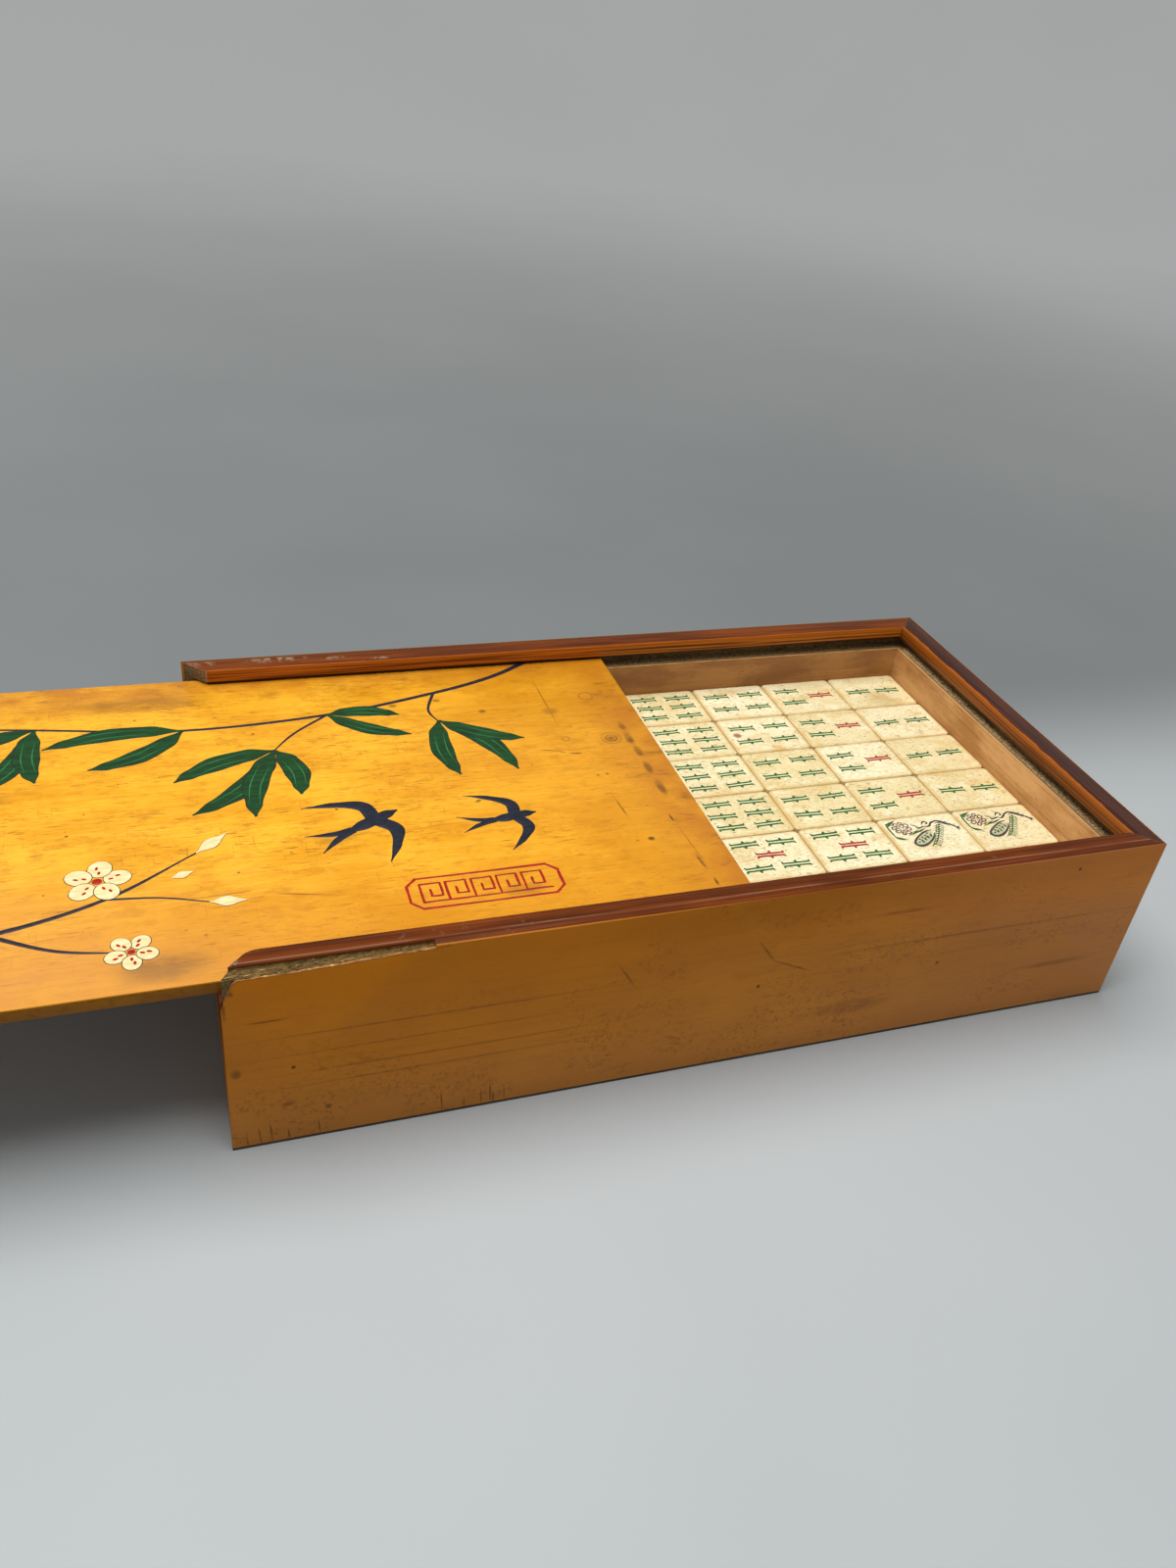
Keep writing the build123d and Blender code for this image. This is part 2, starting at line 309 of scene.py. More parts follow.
def veneer_brown(name, deep, mid, light, along="x", marks=()):
    """The case's bamboo skin: brown, streaked along the board, specked and marked, with painted shade
    darkening it towards its top and painted light making it paler to its foot.
    """
    paint = Paint(name, Specular_IOR_Level=0.09, Coat_Weight=0.02, Coat_Roughness=0.3)
    clouds = paint.grain((38, 38, 20), detail=4, roughness=0.6)
    paint.ground(mid, light, clouds, 0.34, 0.68)
    streaks = paint.grain(lengthwise(along, 60, 2.2), detail=4, roughness=0.6)
    paint.lay(deep, streaks, 0.47, 0.74, 0.34)
    blotches = paint.grain(lengthwise(along, 16, 6), detail=4, roughness=0.65, shift=6.4)
    paint.lay(deep, blotches, 0.55, 0.76, 0.35)
    paint.lay("4a2206", paint.grain(lengthwise(along, 5, 0.35), detail=1, shift=9.2), 0.62, 0.76, 0.35)
    paint.over("2a1204", paint.specks((6, 6, 4), 0.3, 0.14, 4.4), 0.8)
    paint.over("4a2206", paint.specks((3, 3, 3), 0.3, 0.13, 7.1), 0.5)
    # Painted shade: darker towards the top. Painted light: paler towards the foot.
    paint.lay(deep, paint.z, case_top * 0.45 * MM, case_top * 0.95 * MM, 0.4)
    paint.lay("e09244", paint.z, case_top * 0.75 * MM, 0, 0.46)
    scuffs = paint.grain((1.4, 1.4, 1.4), detail=4, roughness=0.75, shift=41.0)
    scuffed = paint.grain((22, 22, 16), detail=2, shift=44.0)
    dull = paint.all_of(paint.ease(scuffs, 0.5, 0.66), paint.ease(scuffed, 0.48, 0.64, 0, 0.45))
    paint.over("4e2a10", dull)
    # Painted shade: the thin top edge is darkened against the light its upturned bevel catches from overhead.
    paint.lay("4a2206", paint.z, (case_top - 0.14) * MM, (case_top - 0.04) * MM, 0.75)
    if marks:
        # Painted shade: the front darker towards its top, under the rim.
        paint.lay("532e04", paint.z, case_top * 0.76 * MM, case_top * 0.98 * MM, 0.33)
        upper = paint.ease(paint.z, case_top * 0.05 * MM, case_top * 0.6 * MM, 0, 0.5)
        paint.over("b86c00", paint.ease(paint.x, 20 * MM, -70 * MM), upper)
        paint.lay("b07050", paint.x, 10 * MM, 100 * MM, 0.2)
        broken = paint.ease(paint.grain((4, 4, 4), detail=3, shift=1.7), 0.3, 0.6, 0.5, 1.0)
        blots = [paint.blot((x, -half_width, z), (u, 9, v), (0, -turn, 0)) for x, z, u, v, turn, _ in marks]
        paint.marks("2c1210", blots, marks, broken)
    paint.set("Roughness", paint.ease(clouds, 0.3, 0.7, 0.38, 0.5))
    paint.bump(streaks, 0.15, 0.25)
    paint.bump(clouds, 0.8, 0.15)
    return paint.finished()


# Marks on the front, as the lid's are given, but along and up the board
FOOT_STROKES = (-140.4, -137.0, -134.0, -129.4, -121.2, -87.0, -80.4, -75.4, -72.8, -71.8, -68.6)
FRONT_MARKS = [(x, 3.0 + i % 3, 0.24, 2.0 + 0.9 * (i % 3), 4, 0.62) for i, x in enumerate(FOOT_STROKES)] + [
    (-118.6, 11.4, 0.9, 0.8, 0, 1), (-129, 15, 1.8, 0.9, 10, 0.5), (-142, 29.4, 1.2, 1.6, 0, 0.5),
    (-127.4, 28.6, 0.6, 0.6, 0, 0.8), (70.4, 28, 0.6, 0.6, 0, 0.8), (113, 59, 0.6, 0.6, 0, 0.8),
    (7.6, 30.4, 0.6, 0.6, 0, 0.8), (-133.5, 46.6, 4.5, 0.3, 0, 0.6), (-90, 40, 46, 0.35, 0, 0.35),
    (-92, 33, 44, 0.3, 0, 0.3), (-88, 26, 42, 0.3, 0, 0.35), (-90, 21, 46, 0.35, 0, 0.3),
    (93, 39, 53, 0.35, 0, 0.35), (8, 44, 5, 0.35, -53, 0.5), (17.5, 36.8, 7.2, 0.35, -26, 0.5),
    (-35.5, 43, 4.7, 0.35, -58, 0.5), (42, 15, 12, 2.6, 0, 0.3), (52, 52, 10, 0.6, 0, 0.35),
    (117, 19, 13, 1, 0, 0.35), (-142, 57.8, 0.7, 1.1, 40, 0.5), (-143.7, 52, 0.4, 3, 0, 0.6),
]


def rim_red(
        name, base, streak, side_tone, along="x", worn_edge=None, gloss=0.14,
        scuffs=(), painted_highlight_line=None, foot_painted_shade=False):
    """Red-stained bamboo skin of the rim, streaked along it, its sides more orange and its mitres dusty."""
    paint = Paint(name, Specular_IOR_Level=gloss, Coat_Weight=0.02, Coat_Roughness=0.2)
    clouds = paint.grain(lengthwise(along, 45, 3.0, 6), detail=3, roughness=0.55)
    paint.ground(base, streak, clouds, 0.38, 0.66)
    streaks = paint.grain(lengthwise(along, 60, 0.7, 2.5), detail=3, roughness=0.6, shift=3.7)
    paint.lay("8a4220", streaks, 0.56, 0.7, 0.5)
    dark = paint.grain(lengthwise(along, 50, 0.6, 2.5), detail=4, roughness=0.65, shift=12.7)
    paint.lay("200806", dark, 0.52, 0.7, 0.7)
    side = paint.ease(paint.z, (case_top - 0.1) * MM, (case_top - 0.4) * MM)
    stripe = paint.grain(lengthwise(along, 50, 4, 0.7), detail=3, shift=30.0)
    side_colour = paint.mix(paint.ease(stripe, 0.4, 0.65), tone(side_tone), tone("5c2c0a"))
    paint.colour = paint.mix(side, paint.colour, side_colour)
    # Painted shade: the lip's lower edge darkened as if in the shadow of the gap over the lid.
    if foot_painted_shade:
        paint.lay("1c0a04", paint.z, (groove_roof + 0.9) * MM, (groove_roof + 0.45) * MM, 0.9)
    if worn_edge is not None:
        axis, place, width = worn_edge
        wander = paint.grain((9, 9, 200), detail=3, shift=1.3)
        coordinate = paint.x if axis == "x" else paint.y
        inward = paint.math("ABSOLUTE", paint.math("SUBTRACT", coordinate, place * MM))
        reach = paint.ease(wander, 0.3, 0.7, 0.5 * width * MM, 1.3 * width * MM)
        worn = paint.ease(paint.math("SUBTRACT", inward, reach), 0.25 * MM, -0.1 * MM)
        band = paint.math("MULTIPLY", worn, paint.near(paint.z, case_top, 1.0, 0.6))
        paint.over("a05410", band, 0.75)
    dust = paint.grain((3, 3, 3), detail=4, roughness=0.7, shift=21.0)
    patches = paint.grain((30, 30, 30), detail=1, shift=17.0)
    film = paint.all_of(paint.ease(dust, 0.58, 0.72), paint.ease(patches, 0.52, 0.66, 0, 0.25))
    ends = paint.math("SUBTRACT", paint.math("ABSOLUTE", paint.x), paint.math("ABSOLUTE", paint.y))
    mitre = paint.near(ends, half_length - half_width, 0.05, 0.22)
    chipped = paint.all_of(paint.near(ends, half_length - half_width, 0.4, 1.6), paint.ease(dust, 0.55, 0.66))
    paint.over("80705e", paint.any_of(film, paint.math("MULTIPLY", mitre, 0.5), chipped))
    if scuffs:
        blots = [paint.blot((x, y, case_top), (u, v, 50)) for x, y, u, v, _ in scuffs]
        paint.marks("8c7a64", blots, scuffs, paint.ease(dust, 0.45, 0.6))
    # Painted highlight: a faint pale line along the rim's middle, broken up by a noise.
    if painted_highlight_line is not None:
        wander = paint.grain((25, 25, 25), detail=2, shift=51.0)
        strength = paint.ease(wander, 0.35, 0.6, 0.08, 0.34)
        paint.over("9a7c66", paint.near(paint.y, painted_highlight_line, 0.1, 0.3), strength)
    paint.set("Roughness", paint.ease(clouds, 0.3, 0.7, 0.3, 0.45))
    paint.bump(streaks, 0.2, 0.35)
    paint.bump(mitre, -0.15, 0.8)
    return paint.finished()


def board_core(name, dark, light, thread):
    """Raw bamboo board where it shows: brown, full of dark fibre ends and pale threads."""
    paint = Paint(name, Roughness=0.85, Specular_IOR_Level=0.2)
    clouds = paint.grain((12, 12, 8), detail=3)
    paint.ground(dark, light, clouds, 0.35, 0.65)
    fibres = paint.grain((1.3, 0.45, 0.45), detail=4, roughness=0.75, shift=2.0)
    paint.lay("1e150a", fibres, 0.5, 0.62, 0.85)
    threads = paint.grain((1.7, 0.35, 0.35), detail=3, roughness=0.7, shift=8.0)
    paint.lay(thread, threads, 0.56, 0.68, 0.8)
    paint.bump(fibres, 0.35, 0.8)
    paint.bump(threads, 0.25, 0.6)
    return paint.finished()


def torn_fibre():
    """Torn bamboo: straw brown with darker threads and paler tips."""
    paint = Paint("torn_fibre", Roughness=0.8, Specular_IOR_Level=0.2)
    threads = paint.grain((3, 0.35, 0.35), detail=3, roughness=0.7)
    paint.ground("9c6a34", "5c3a1a", threads, 0.38, 0.6)
    paint.lay("b48c58", paint.grain((2, 0.5, 0.5), detail=3, shift=5.0), 0.52, 0.66)
    paint.bump(threads, 0.2, 0.6)
    return paint.finished()


def liner_tan(name, along, dark, light, shoulder_tone="b8986a"):
    """Tan bamboo lining with faint lines along it, a rubbed top edge and the rough shoulder behind that, the
    shoulder's tones made pale as painted light against the shade under the lip.
    """
    paint = Paint(name, Roughness=0.5, Specular_IOR_Level=0.3)
    clouds = paint.grain((26, 26, 10), detail=4, roughness=0.6)
    paint.ground(dark, light, clouds, 0.35, 0.65)
    lines = paint.grain(lengthwise(along, 80, 1.1), detail=4, roughness=0.65, shift=4.0)
    paint.lay("75431a", lines, 0.48, 0.72, 0.45)
    paint.lay("4c280c", paint.grain(lengthwise(along, 4, 0.5), detail=2, shift=6.0), 0.62, 0.76, 0.5)
    across, inner = (paint.y, liner_inner_y) if along == "x" else (paint.x, liner_inner_x)
    depth = paint.math("SUBTRACT", paint.math("ABSOLUTE", across), inner * MM)
    top = paint.ease(paint.z, (sill - 0.35) * MM, (sill - 0.08) * MM)
    wander = paint.grain((5, 5, 5), detail=3, shift=12.0)
    edge = paint.ease(depth, 1.3 * MM, 0.5 * MM)
    paint.over("b88c5a", paint.all_of(top, edge, paint.ease(wander, 0.3, 0.6, 0.4, 0.95)))
    # Painted light: the shoulder's tones are pale to offset the shade under the lip.
    rough = paint.grain((0.8, 0.8, 0.8), detail=4, roughness=0.75, shift=15.0)
    shoulder = paint.mix(paint.ease(rough, 0.42, 0.6), tone(shoulder_tone), tone("6e5632"))
    band = paint.mix(paint.ease(depth, 1.2 * MM, 2.2 * MM), tone("86643c"), shoulder)
    paint.colour = paint.mix(paint.all_of(top, paint.ease(depth, 0.75 * MM, 1.0 * MM)), paint.colour, band)
    paint.bump(lines, 0.15, 0.3)
    paint.bump(paint.math("MULTIPLY", rough, top), 0.4, 0.7)
    return paint.finished()


def base_dark():
    """The base board's edge and underside, in dark brown."""
    paint = Paint("base_dark", Roughness=0.6)
    lines = paint.grain((60, 1.5, 1.5), detail=4, roughness=0.6)
    paint.ground("22150c", "38230f", lines, 0.35, 0.7)
    paint.lay("4e321a", paint.grain((25, 25, 25), detail=3, shift=3.0), 0.5, 0.7, 0.5)
    paint.bump(lines, 0.2, 0.4)
    return paint.finished()


# Tile materials

def bone():
    """Old bone: ivory, flecked brown along the tile, some tiles yellower, all stained at the edges, with
    painted light on the outermost edges.
    """
    paint = Paint("bone", Roughness=0.42, Specular_IOR_Level=0.35, Subsurface_Weight=0.1)
    paint.set("Subsurface Scale", 2 * MM)
    paint.set("Subsurface Radius", (1.0, 0.7, 0.4))
    inputs = {0: paint.coords, 1: TILE_STEP, 2: TILE_START}
    by_tile = paint.node("VectorMath", inputs, operation="MULTIPLY_ADD")
    whole = paint.node("VectorMath", {0: by_tile.outputs[0]}, operation="FLOOR")
    age = paint.node("TexWhiteNoise", {"Vector": whole.outputs[0]}).outputs["Value"]
    paint.ground("e2d7b2", "d5c594", age, 0.0, 1.0)
    paint.lay("c6a968", paint.grain((12, 7, 8), detail=4, roughness=0.65), 0.45, 0.7, 0.6)
    paint.lay("ebe2c0", paint.grain((8, 5, 8), detail=3, roughness=0.6, shift=19.0), 0.5, 0.7, 0.5)
    flecks = paint.grain((2.2, 0.45, 0.6), detail=3, roughness=0.65, shift=4.0)
    patches = paint.grain((9, 8, 9), detail=2, shift=9.0)
    dots = paint.all_of(paint.ease(flecks, 0.55, 0.64), paint.ease(patches, 0.32, 0.54, 0.25, 1.0))
    paint.over("85602c", dots, 0.85)
    paint.lay("b09050", paint.grain((1.0, 0.45, 0.5), detail=2, roughness=0.7, shift=23.0), 0.48, 0.7, 0.32)
    paint.over("7a5a30", paint.specks((2.6, 1.6, 2.0), 0.4, 0.2, 6.6), 0.6)
    inside = paint.node("VectorMath", {0: by_tile.outputs[0]}, operation="FRACTION")
    centred = paint.node("VectorMath", {0: inside.outputs[0], 1: (0.5, 0.5, 0.5)}, operation="SUBTRACT")
    away = paint.node("VectorMath", {0: centred.outputs[0]}, operation="ABSOLUTE")
    off = paint.node("SeparateXYZ", {0: away.outputs[0]})

    def border(outer, inner, share):
        """1 near a tile's sides and 0 further in, by distances in millimetres, weaker at the long sides."""
        ends = paint.ease(off.outputs[0], 0.5 - inner / column_pitch, 0.5 - outer / column_pitch)
        sides = paint.ease(off.outputs[1], 0.5 - inner / row_pitch, 0.5 - outer / row_pitch)
        return paint.any_of(ends, paint.math("MULTIPLY", sides, share))

    grime = paint.grain((6, 6, 6), detail=3, shift=2.0)
    paint.over("bc9c5c", border(0.3, 1.9, 0.75), paint.ease(grime, 0.3, 0.65, 0.3, 0.8))
    # Painted light: the outermost edges paler gold, against the shade in the gaps between tiles.
    paint.over("ccaa6a", border(0.25, 0.7, 0.6), 0.6)
    for place, radius, soft, strength, code in TILE_STAINS:
        paint.over(code, paint.spot((*place, tile_top), radius, soft), strength)
    paint.bump(flecks, 0.05, 0.5)
    return paint.finished()


# Stains on the tile faces: place, radius, soft margin, strength and colour
TILE_STAINS = [
    ((49.9, 35.6), 1.5, 0.5, 0.85, "8a4a2a"), ((62.3, 25.0), 1.8, 2.2, 0.6, "c08a30"),
    ((121.0, 52.0), 4.5, 5.0, 0.45, "a8823c"),
]
TILE_STEP = (1 / (column_pitch * MM), 1 / (row_pitch * MM), 1 / (tile_thickness * MM))
TILE_START = (
    0.5 - tile_middle.x / column_pitch,
    0.5 - tile_middle.y / row_pitch,
    -tile_foot / tile_thickness,
)


def ink(name, code, deep, wash=0.0):
    """Old tile paint rubbed into the carving, uneven and worn through to the bone in places."""
    paint = Paint(name, Roughness=0.55)
    clouds = paint.grain((1.6, 1.0, 1.0), detail=3, roughness=0.6)
    paint.ground(deep, code, clouds, 0.35, 0.65)
    worn = paint.grain((0.9, 0.5, 0.5), detail=2, shift=3.0)
    paint.lay("e6d8a6", worn, 0.64 - wash, 0.82 - wash, 0.3)
    return paint.finished()


def bamboo_back():
    """The tiles' bamboo backs: honey coloured, with dark fibres along the tile."""
    paint = Paint("tile_bamboo", Roughness=0.42)
    clouds = paint.grain((20, 8, 8), detail=3)
    paint.ground("b97b33", "d6a25a", clouds, 0.35, 0.65)
    fibres = paint.grain((26, 0.5, 0.5), detail=2, shift=5.0)
    paint.lay("7a4516", fibres, 0.5, 0.7, 0.7)
    paint.lay("4f2a0c", paint.grain((2.4, 0.3, 0.3), detail=1, shift=8.0), 0.62, 0.74, 0.6)
    paint.bump(fibres, 0.12, 0.4)
    return paint.finished()


def enamel(name, dark, light, grain=(3.0, 1.2, 1.2)):
    """Lid paint laid on with a brush: slightly streaked and a little dull."""
    paint = Paint(name, Roughness=0.45, Specular_IOR_Level=0.2, Coat_Weight=0.03, Coat_Roughness=0.3)
    strokes = paint.grain(grain, detail=3, roughness=0.6)
    paint.ground(dark, light, strokes, 0.35, 0.68)
    paint.bump(strokes, 0.06, 0.6)
    return paint.finished()


# Meshes

class Shape:
    """Points in millimetres, faces and each face's material number, gathered from smaller shapes."""

    def __init__(self):
        self.points = []
        self.faces = []
        self.inks = []

    def add(self, points, faces, inks=()):
        first = len(self.points)
        self.points.extend(points)
        self.faces.extend([first + i for i in face] for face in faces)
        self.inks.extend(inks or [0] * len(faces))

    def join(self, other):
        self.add(other.points, other.faces, other.inks)


def strip(rows, across, closed=False, turned_over=False, first=0):
    """Quads between rows of points that lie one after another, each row's ends joined where it is closed."""
    quads = []
    for row in range(rows - 1):
        for i in range(across if closed else across - 1):
            a = first + row * across + i
            b = first + row * across + (i + 1) % across
            quads.append([a, a + across, b + across, b] if turned_over else [a, b, b + across, a + across])
    return quads


def new_piece(name, shape, materials, body="case", sharp=30):
    """A shape made into a mesh with its materials, riding on a body."""
    mesh = bpy.data.meshes.new(name)
    mesh.from_pydata([Vector(p) * MM for p in shape.points], [], shape.faces)
    for material in materials:
        mesh.materials.append(material)
    mesh.polygons.foreach_set("material_index", shape.inks)
    mesh.validate()
    mesh.shade_smooth()
    mesh.set_sharp_from_angle(angle=math.radians(sharp))
    piece = bpy.data.objects.new(name, mesh)
    bpy.context.scene.collection.objects.link(piece)
    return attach(piece, body)


def inside(point, outline):
    """Whether a point in the plane is within a closed outline."""
    x, y = point
    result = False
    for (ax, ay), (bx, by) in zip(outline, outline[1:] + outline[:1]):
        if (ay > y) != (by > y) and x < (bx - ax) * (y - ay) / (by - ay) + ax:
            result = not result
    return result


def edge_distance(point, outline):
    """How far a point in the plane is from a closed outline."""
    x, y = point
    best = 1e9
    for (ax, ay), (bx, by) in zip(outline, outline[1:] + outline[:1]):
        dx, dy = bx - ax, by - ay
        share = ((x - ax) * dx + (y - ay) * dy) / max(dx * dx + dy * dy, 1e-12)
        share = min(1.0, max(0.0, share))
        best = min(best, math.hypot(ax + share * dx - x, ay + share * dy - y))
    return best


def area_of(outline):
    """Signed area of a closed outline."""
    pairs = zip(outline, outline[1:] + outline[:1])
    return sum(ax * by - bx * ay for (ax, ay), (bx, by) in pairs) / 2


def drawn_in(outline, amount):
    """A closed outline moved inwards by an amount, or outwards by a negative one."""
    turn = 1 if area_of(outline) > 0 else -1
    result = []
    for before, here, after in zip(outline[-1:] + outline[:-1], outline, outline[1:] + outline[:1]):
        first = (Vector(here) - Vector(before)).normalized()
        second = (Vector(after) - Vector(here)).normalized()
        normal = Vector((-first.y - second.y, first.x + second.x)) * turn
        if normal.length < 1e-6:
            normal = Vector((-first.y, first.x)) * turn
        normal.normalize()
        across = abs(normal.dot(Vector((-first.y, first.x))))
        result.append(tuple(Vector(here) + normal * amount / max(across, 0.45)))
    return result


class Mark:
    """A closed shape that is carved or painted: its outline, its ink, and how deep or high it is."""

    def __init__(self, outline, ink, depth=0.15):
        self.outline = [tuple(p)[:2] for p in outline]
        self.ink = ink
        self.depth = depth
        xs = [p[0] for p in self.outline]
        ys = [p[1] for p in self.outline]
        self.low = (min(xs), min(ys))
        self.high = (max(xs), max(ys))

    def holds(self, point):
        if not (self.low[0] <= point[0] <= self.high[0] and self.low[1] <= point[1] <= self.high[1]):
            return False
        return inside(point, self.outline)


def relief(marks, grounds=(), slope=0.12):
    """Triangles of carved or raised marks with sloping walls: points (x, y, depth), faces and face inks.
    The grounds are outlines of the plain surface round the marks, the outermost first."""
    points = []
    edges = []
    loops = list(grounds)
    for mark in marks:
        loops.append(mark.outline)
        loops.append(drawn_in(mark.outline, slope))
    for loop in loops:
        first = len(points)
        points.extend(Vector(p) for p in loop)
        edges.extend((first + i, first + (i + 1) % len(loop)) for i in range(len(loop)))
    flat, _, faces, *_ = delaunay_2d_cdt(points, edges, [], 0, 1e-5, False)
    kept = []
    inks = []
    for face in faces:
        middle = sum((flat[i] for i in face), Vector((0, 0))) / len(face)
        over = [mark for mark in marks if mark.holds(middle)]
        if over or (grounds and inside(middle, grounds[0])):
            kept.append(list(face))
            inks.append(over[-1].ink if over else 0)
    used = sorted({i for face in kept for i in face})
    place = {i: n for n, i in enumerate(used)}
    result = []
    for i in used:
        depth = 0.0
        for mark in marks:
            if mark.holds(flat[i]):
                depth = max(depth, mark.depth * min(1.0, edge_distance(flat[i], mark.outline) / slope))
        result.append((flat[i].x, flat[i].y, depth))
    return result, [[place[i] for i in face] for face in kept], inks


def smooth_line(points, steps):
    """Points of a smooth line through the given ones, with the share of the way along the list."""
    ends = [2 * Vector(points[0]) - Vector(points[1]), 2 * Vector(points[-1]) - Vector(points[-2])]
    full = [ends[0]] + [Vector(p) for p in points] + [ends[1]]
    result = []
    for i in range(1, len(full) - 2):
        p0, p1, p2, p3 = full[i - 1:i + 3]
        for step in range(steps):
            t = step / steps
            spot = 0.5 * (2 * p1 + (p2 - p0) * t + (2 * p0 - 5 * p1 + 4 * p2 - p3) * t * t
                          + (3 * p1 - p0 - 3 * p2 + p3) * t * t * t)
            result.append((spot, i - 1 + t))
    result.append((full[-2], len(points) - 1))
    return result


def brush(points, widths, steps=6):
    """The outline of a brush stroke along a smooth line, with a half width at each given point."""
    line = smooth_line(points, steps)
    left = []
    right = []
    for i, (spot, share) in enumerate(line):
        before = line[max(i - 1, 0)][0]
        after = line[min(i + 1, len(line) - 1)][0]
        ahead = (after - before).normalized()
        low = min(int(share), len(widths) - 2)
        ease = share - low
        ease = ease * ease * (3 - 2 * ease)
        half = widths[low] * (1 - ease) + widths[low + 1] * ease
        side = Vector((-ahead.y, ahead.x)) * half
        left.append(tuple(spot + side))
        right.append(tuple(spot - side))
    return left + right[::-1]


def ellipse(middle, across, up, turn=0.0, count=14):
    """An ellipse given by its half sizes and its turn in degrees."""
    result = []
    c, s = math.cos(math.radians(turn)), math.sin(math.radians(turn))
    for i in range(count):
        a = 2 * math.pi * i / count
        u, v = across * math.cos(a), up * math.sin(a)
        result.append((middle[0] + u * c - v * s, middle[1] + u * s + v * c))
    return result


def turned(outline, middle, degrees, grow=1.0):
    """An outline drawn about the origin, turned and moved to its place."""
    c, s = math.cos(math.radians(degrees)) * grow, math.sin(math.radians(degrees)) * grow
    return [(middle[0] + x * c - y * s, middle[1] + x * s + y * c) for x, y in outline]


# What is carved on the tiles

GREEN, RED, BLUE, WASH, PINK, VIOLET, HAZE = range(1, 8)
STICK_LENGTH = 10.2


def stick(middle, colour, rnd, length=STICK_LENGTH):
    """One bamboo stick lying along the tile: two barbed lines with a paler wash between them."""
    half = length / 2 - 0.3
    turn = rnd.uniform(-2.5, 2.5)
    wobble = [rnd.uniform(-0.14, 0.14) for _ in range(8)]
    core = [(-half, -0.32), (half, -0.32), (half, 0.32), (-half, 0.32)]
    marks = [Mark(turned(core, middle, turn), WASH if colour == GREEN else PINK, 0.04)]
    for side in (1, -1):
        outline = [
            (-half - 0.1, 0.3), (half + 0.1, 0.3), (half + 0.3 + wobble[0], 1.65 + wobble[1]),
            (half - 0.25 + wobble[0], 1.55 + wobble[1]), (half - 0.6, 1.08), (0.7 + wobble[2], 1.08),
            (0.3 + wobble[3], 2.1 + wobble[4]), (-0.2 + wobble[3], 2.0 - wobble[4]), (-0.6 + wobble[5], 1.08),
            (-half + 0.6, 1.08), (-half + 0.25 + wobble[6], 1.55 + wobble[7]),
            (-half - 0.3 + wobble[6], 1.65 + wobble[7]),
        ]
        outline = [(x, y * side) for x, y in outline]
        marks.append(Mark(turned(outline, middle, turn), colour))
    return marks


def sticks_at(xs, ys):
    """Green sticks wherever a column and a row cross."""
    return [(x, y, GREEN) for x in xs for y in ys]


# Where each suit number's sticks lie on the tile
STICKS = {
    2: [(-6.5, 0, GREEN), (7, 0, GREEN)],
    3: [(-6.9, 4.7, GREEN), (-6.9, -3.9, GREEN), (6.6, 0.3, RED)],
    4: sticks_at((-7, 7), (5, -4.2)),
    5: sticks_at((-6.8, 6.8), (6.9, -5.6)) + [(0.5, 0.8, RED)],
    6: sticks_at((-6.7, 6.9), (6.6, 0, -6.7)),
    7: [(-10.2, 0, RED)] + sticks_at((-0.8, 9), (6.6, 0, -6.6)),
    8: sticks_at((-6.7, 6.7), (7.8, 2.6, -2.6, -7.8)),
    9: [(x, y, RED if y == 0 else GREEN) for x in (-9.6, 0, 9.6) for y in (7, 0, -7)],
}


def bamboo_marks(suit, rnd):
    """The sticks of a bamboo tile, shorter where more stand in line."""
    length = {7: 8.4, 9: 8.2}.get(suit, STICK_LENGTH)
    marks = []
    for x, y, colour in STICKS[suit]:
        spot = (x + rnd.uniform(-0.35, 0.35), y + rnd.uniform(-0.3, 0.3))
        marks.extend(stick(spot, colour, rnd, length))
    return marks


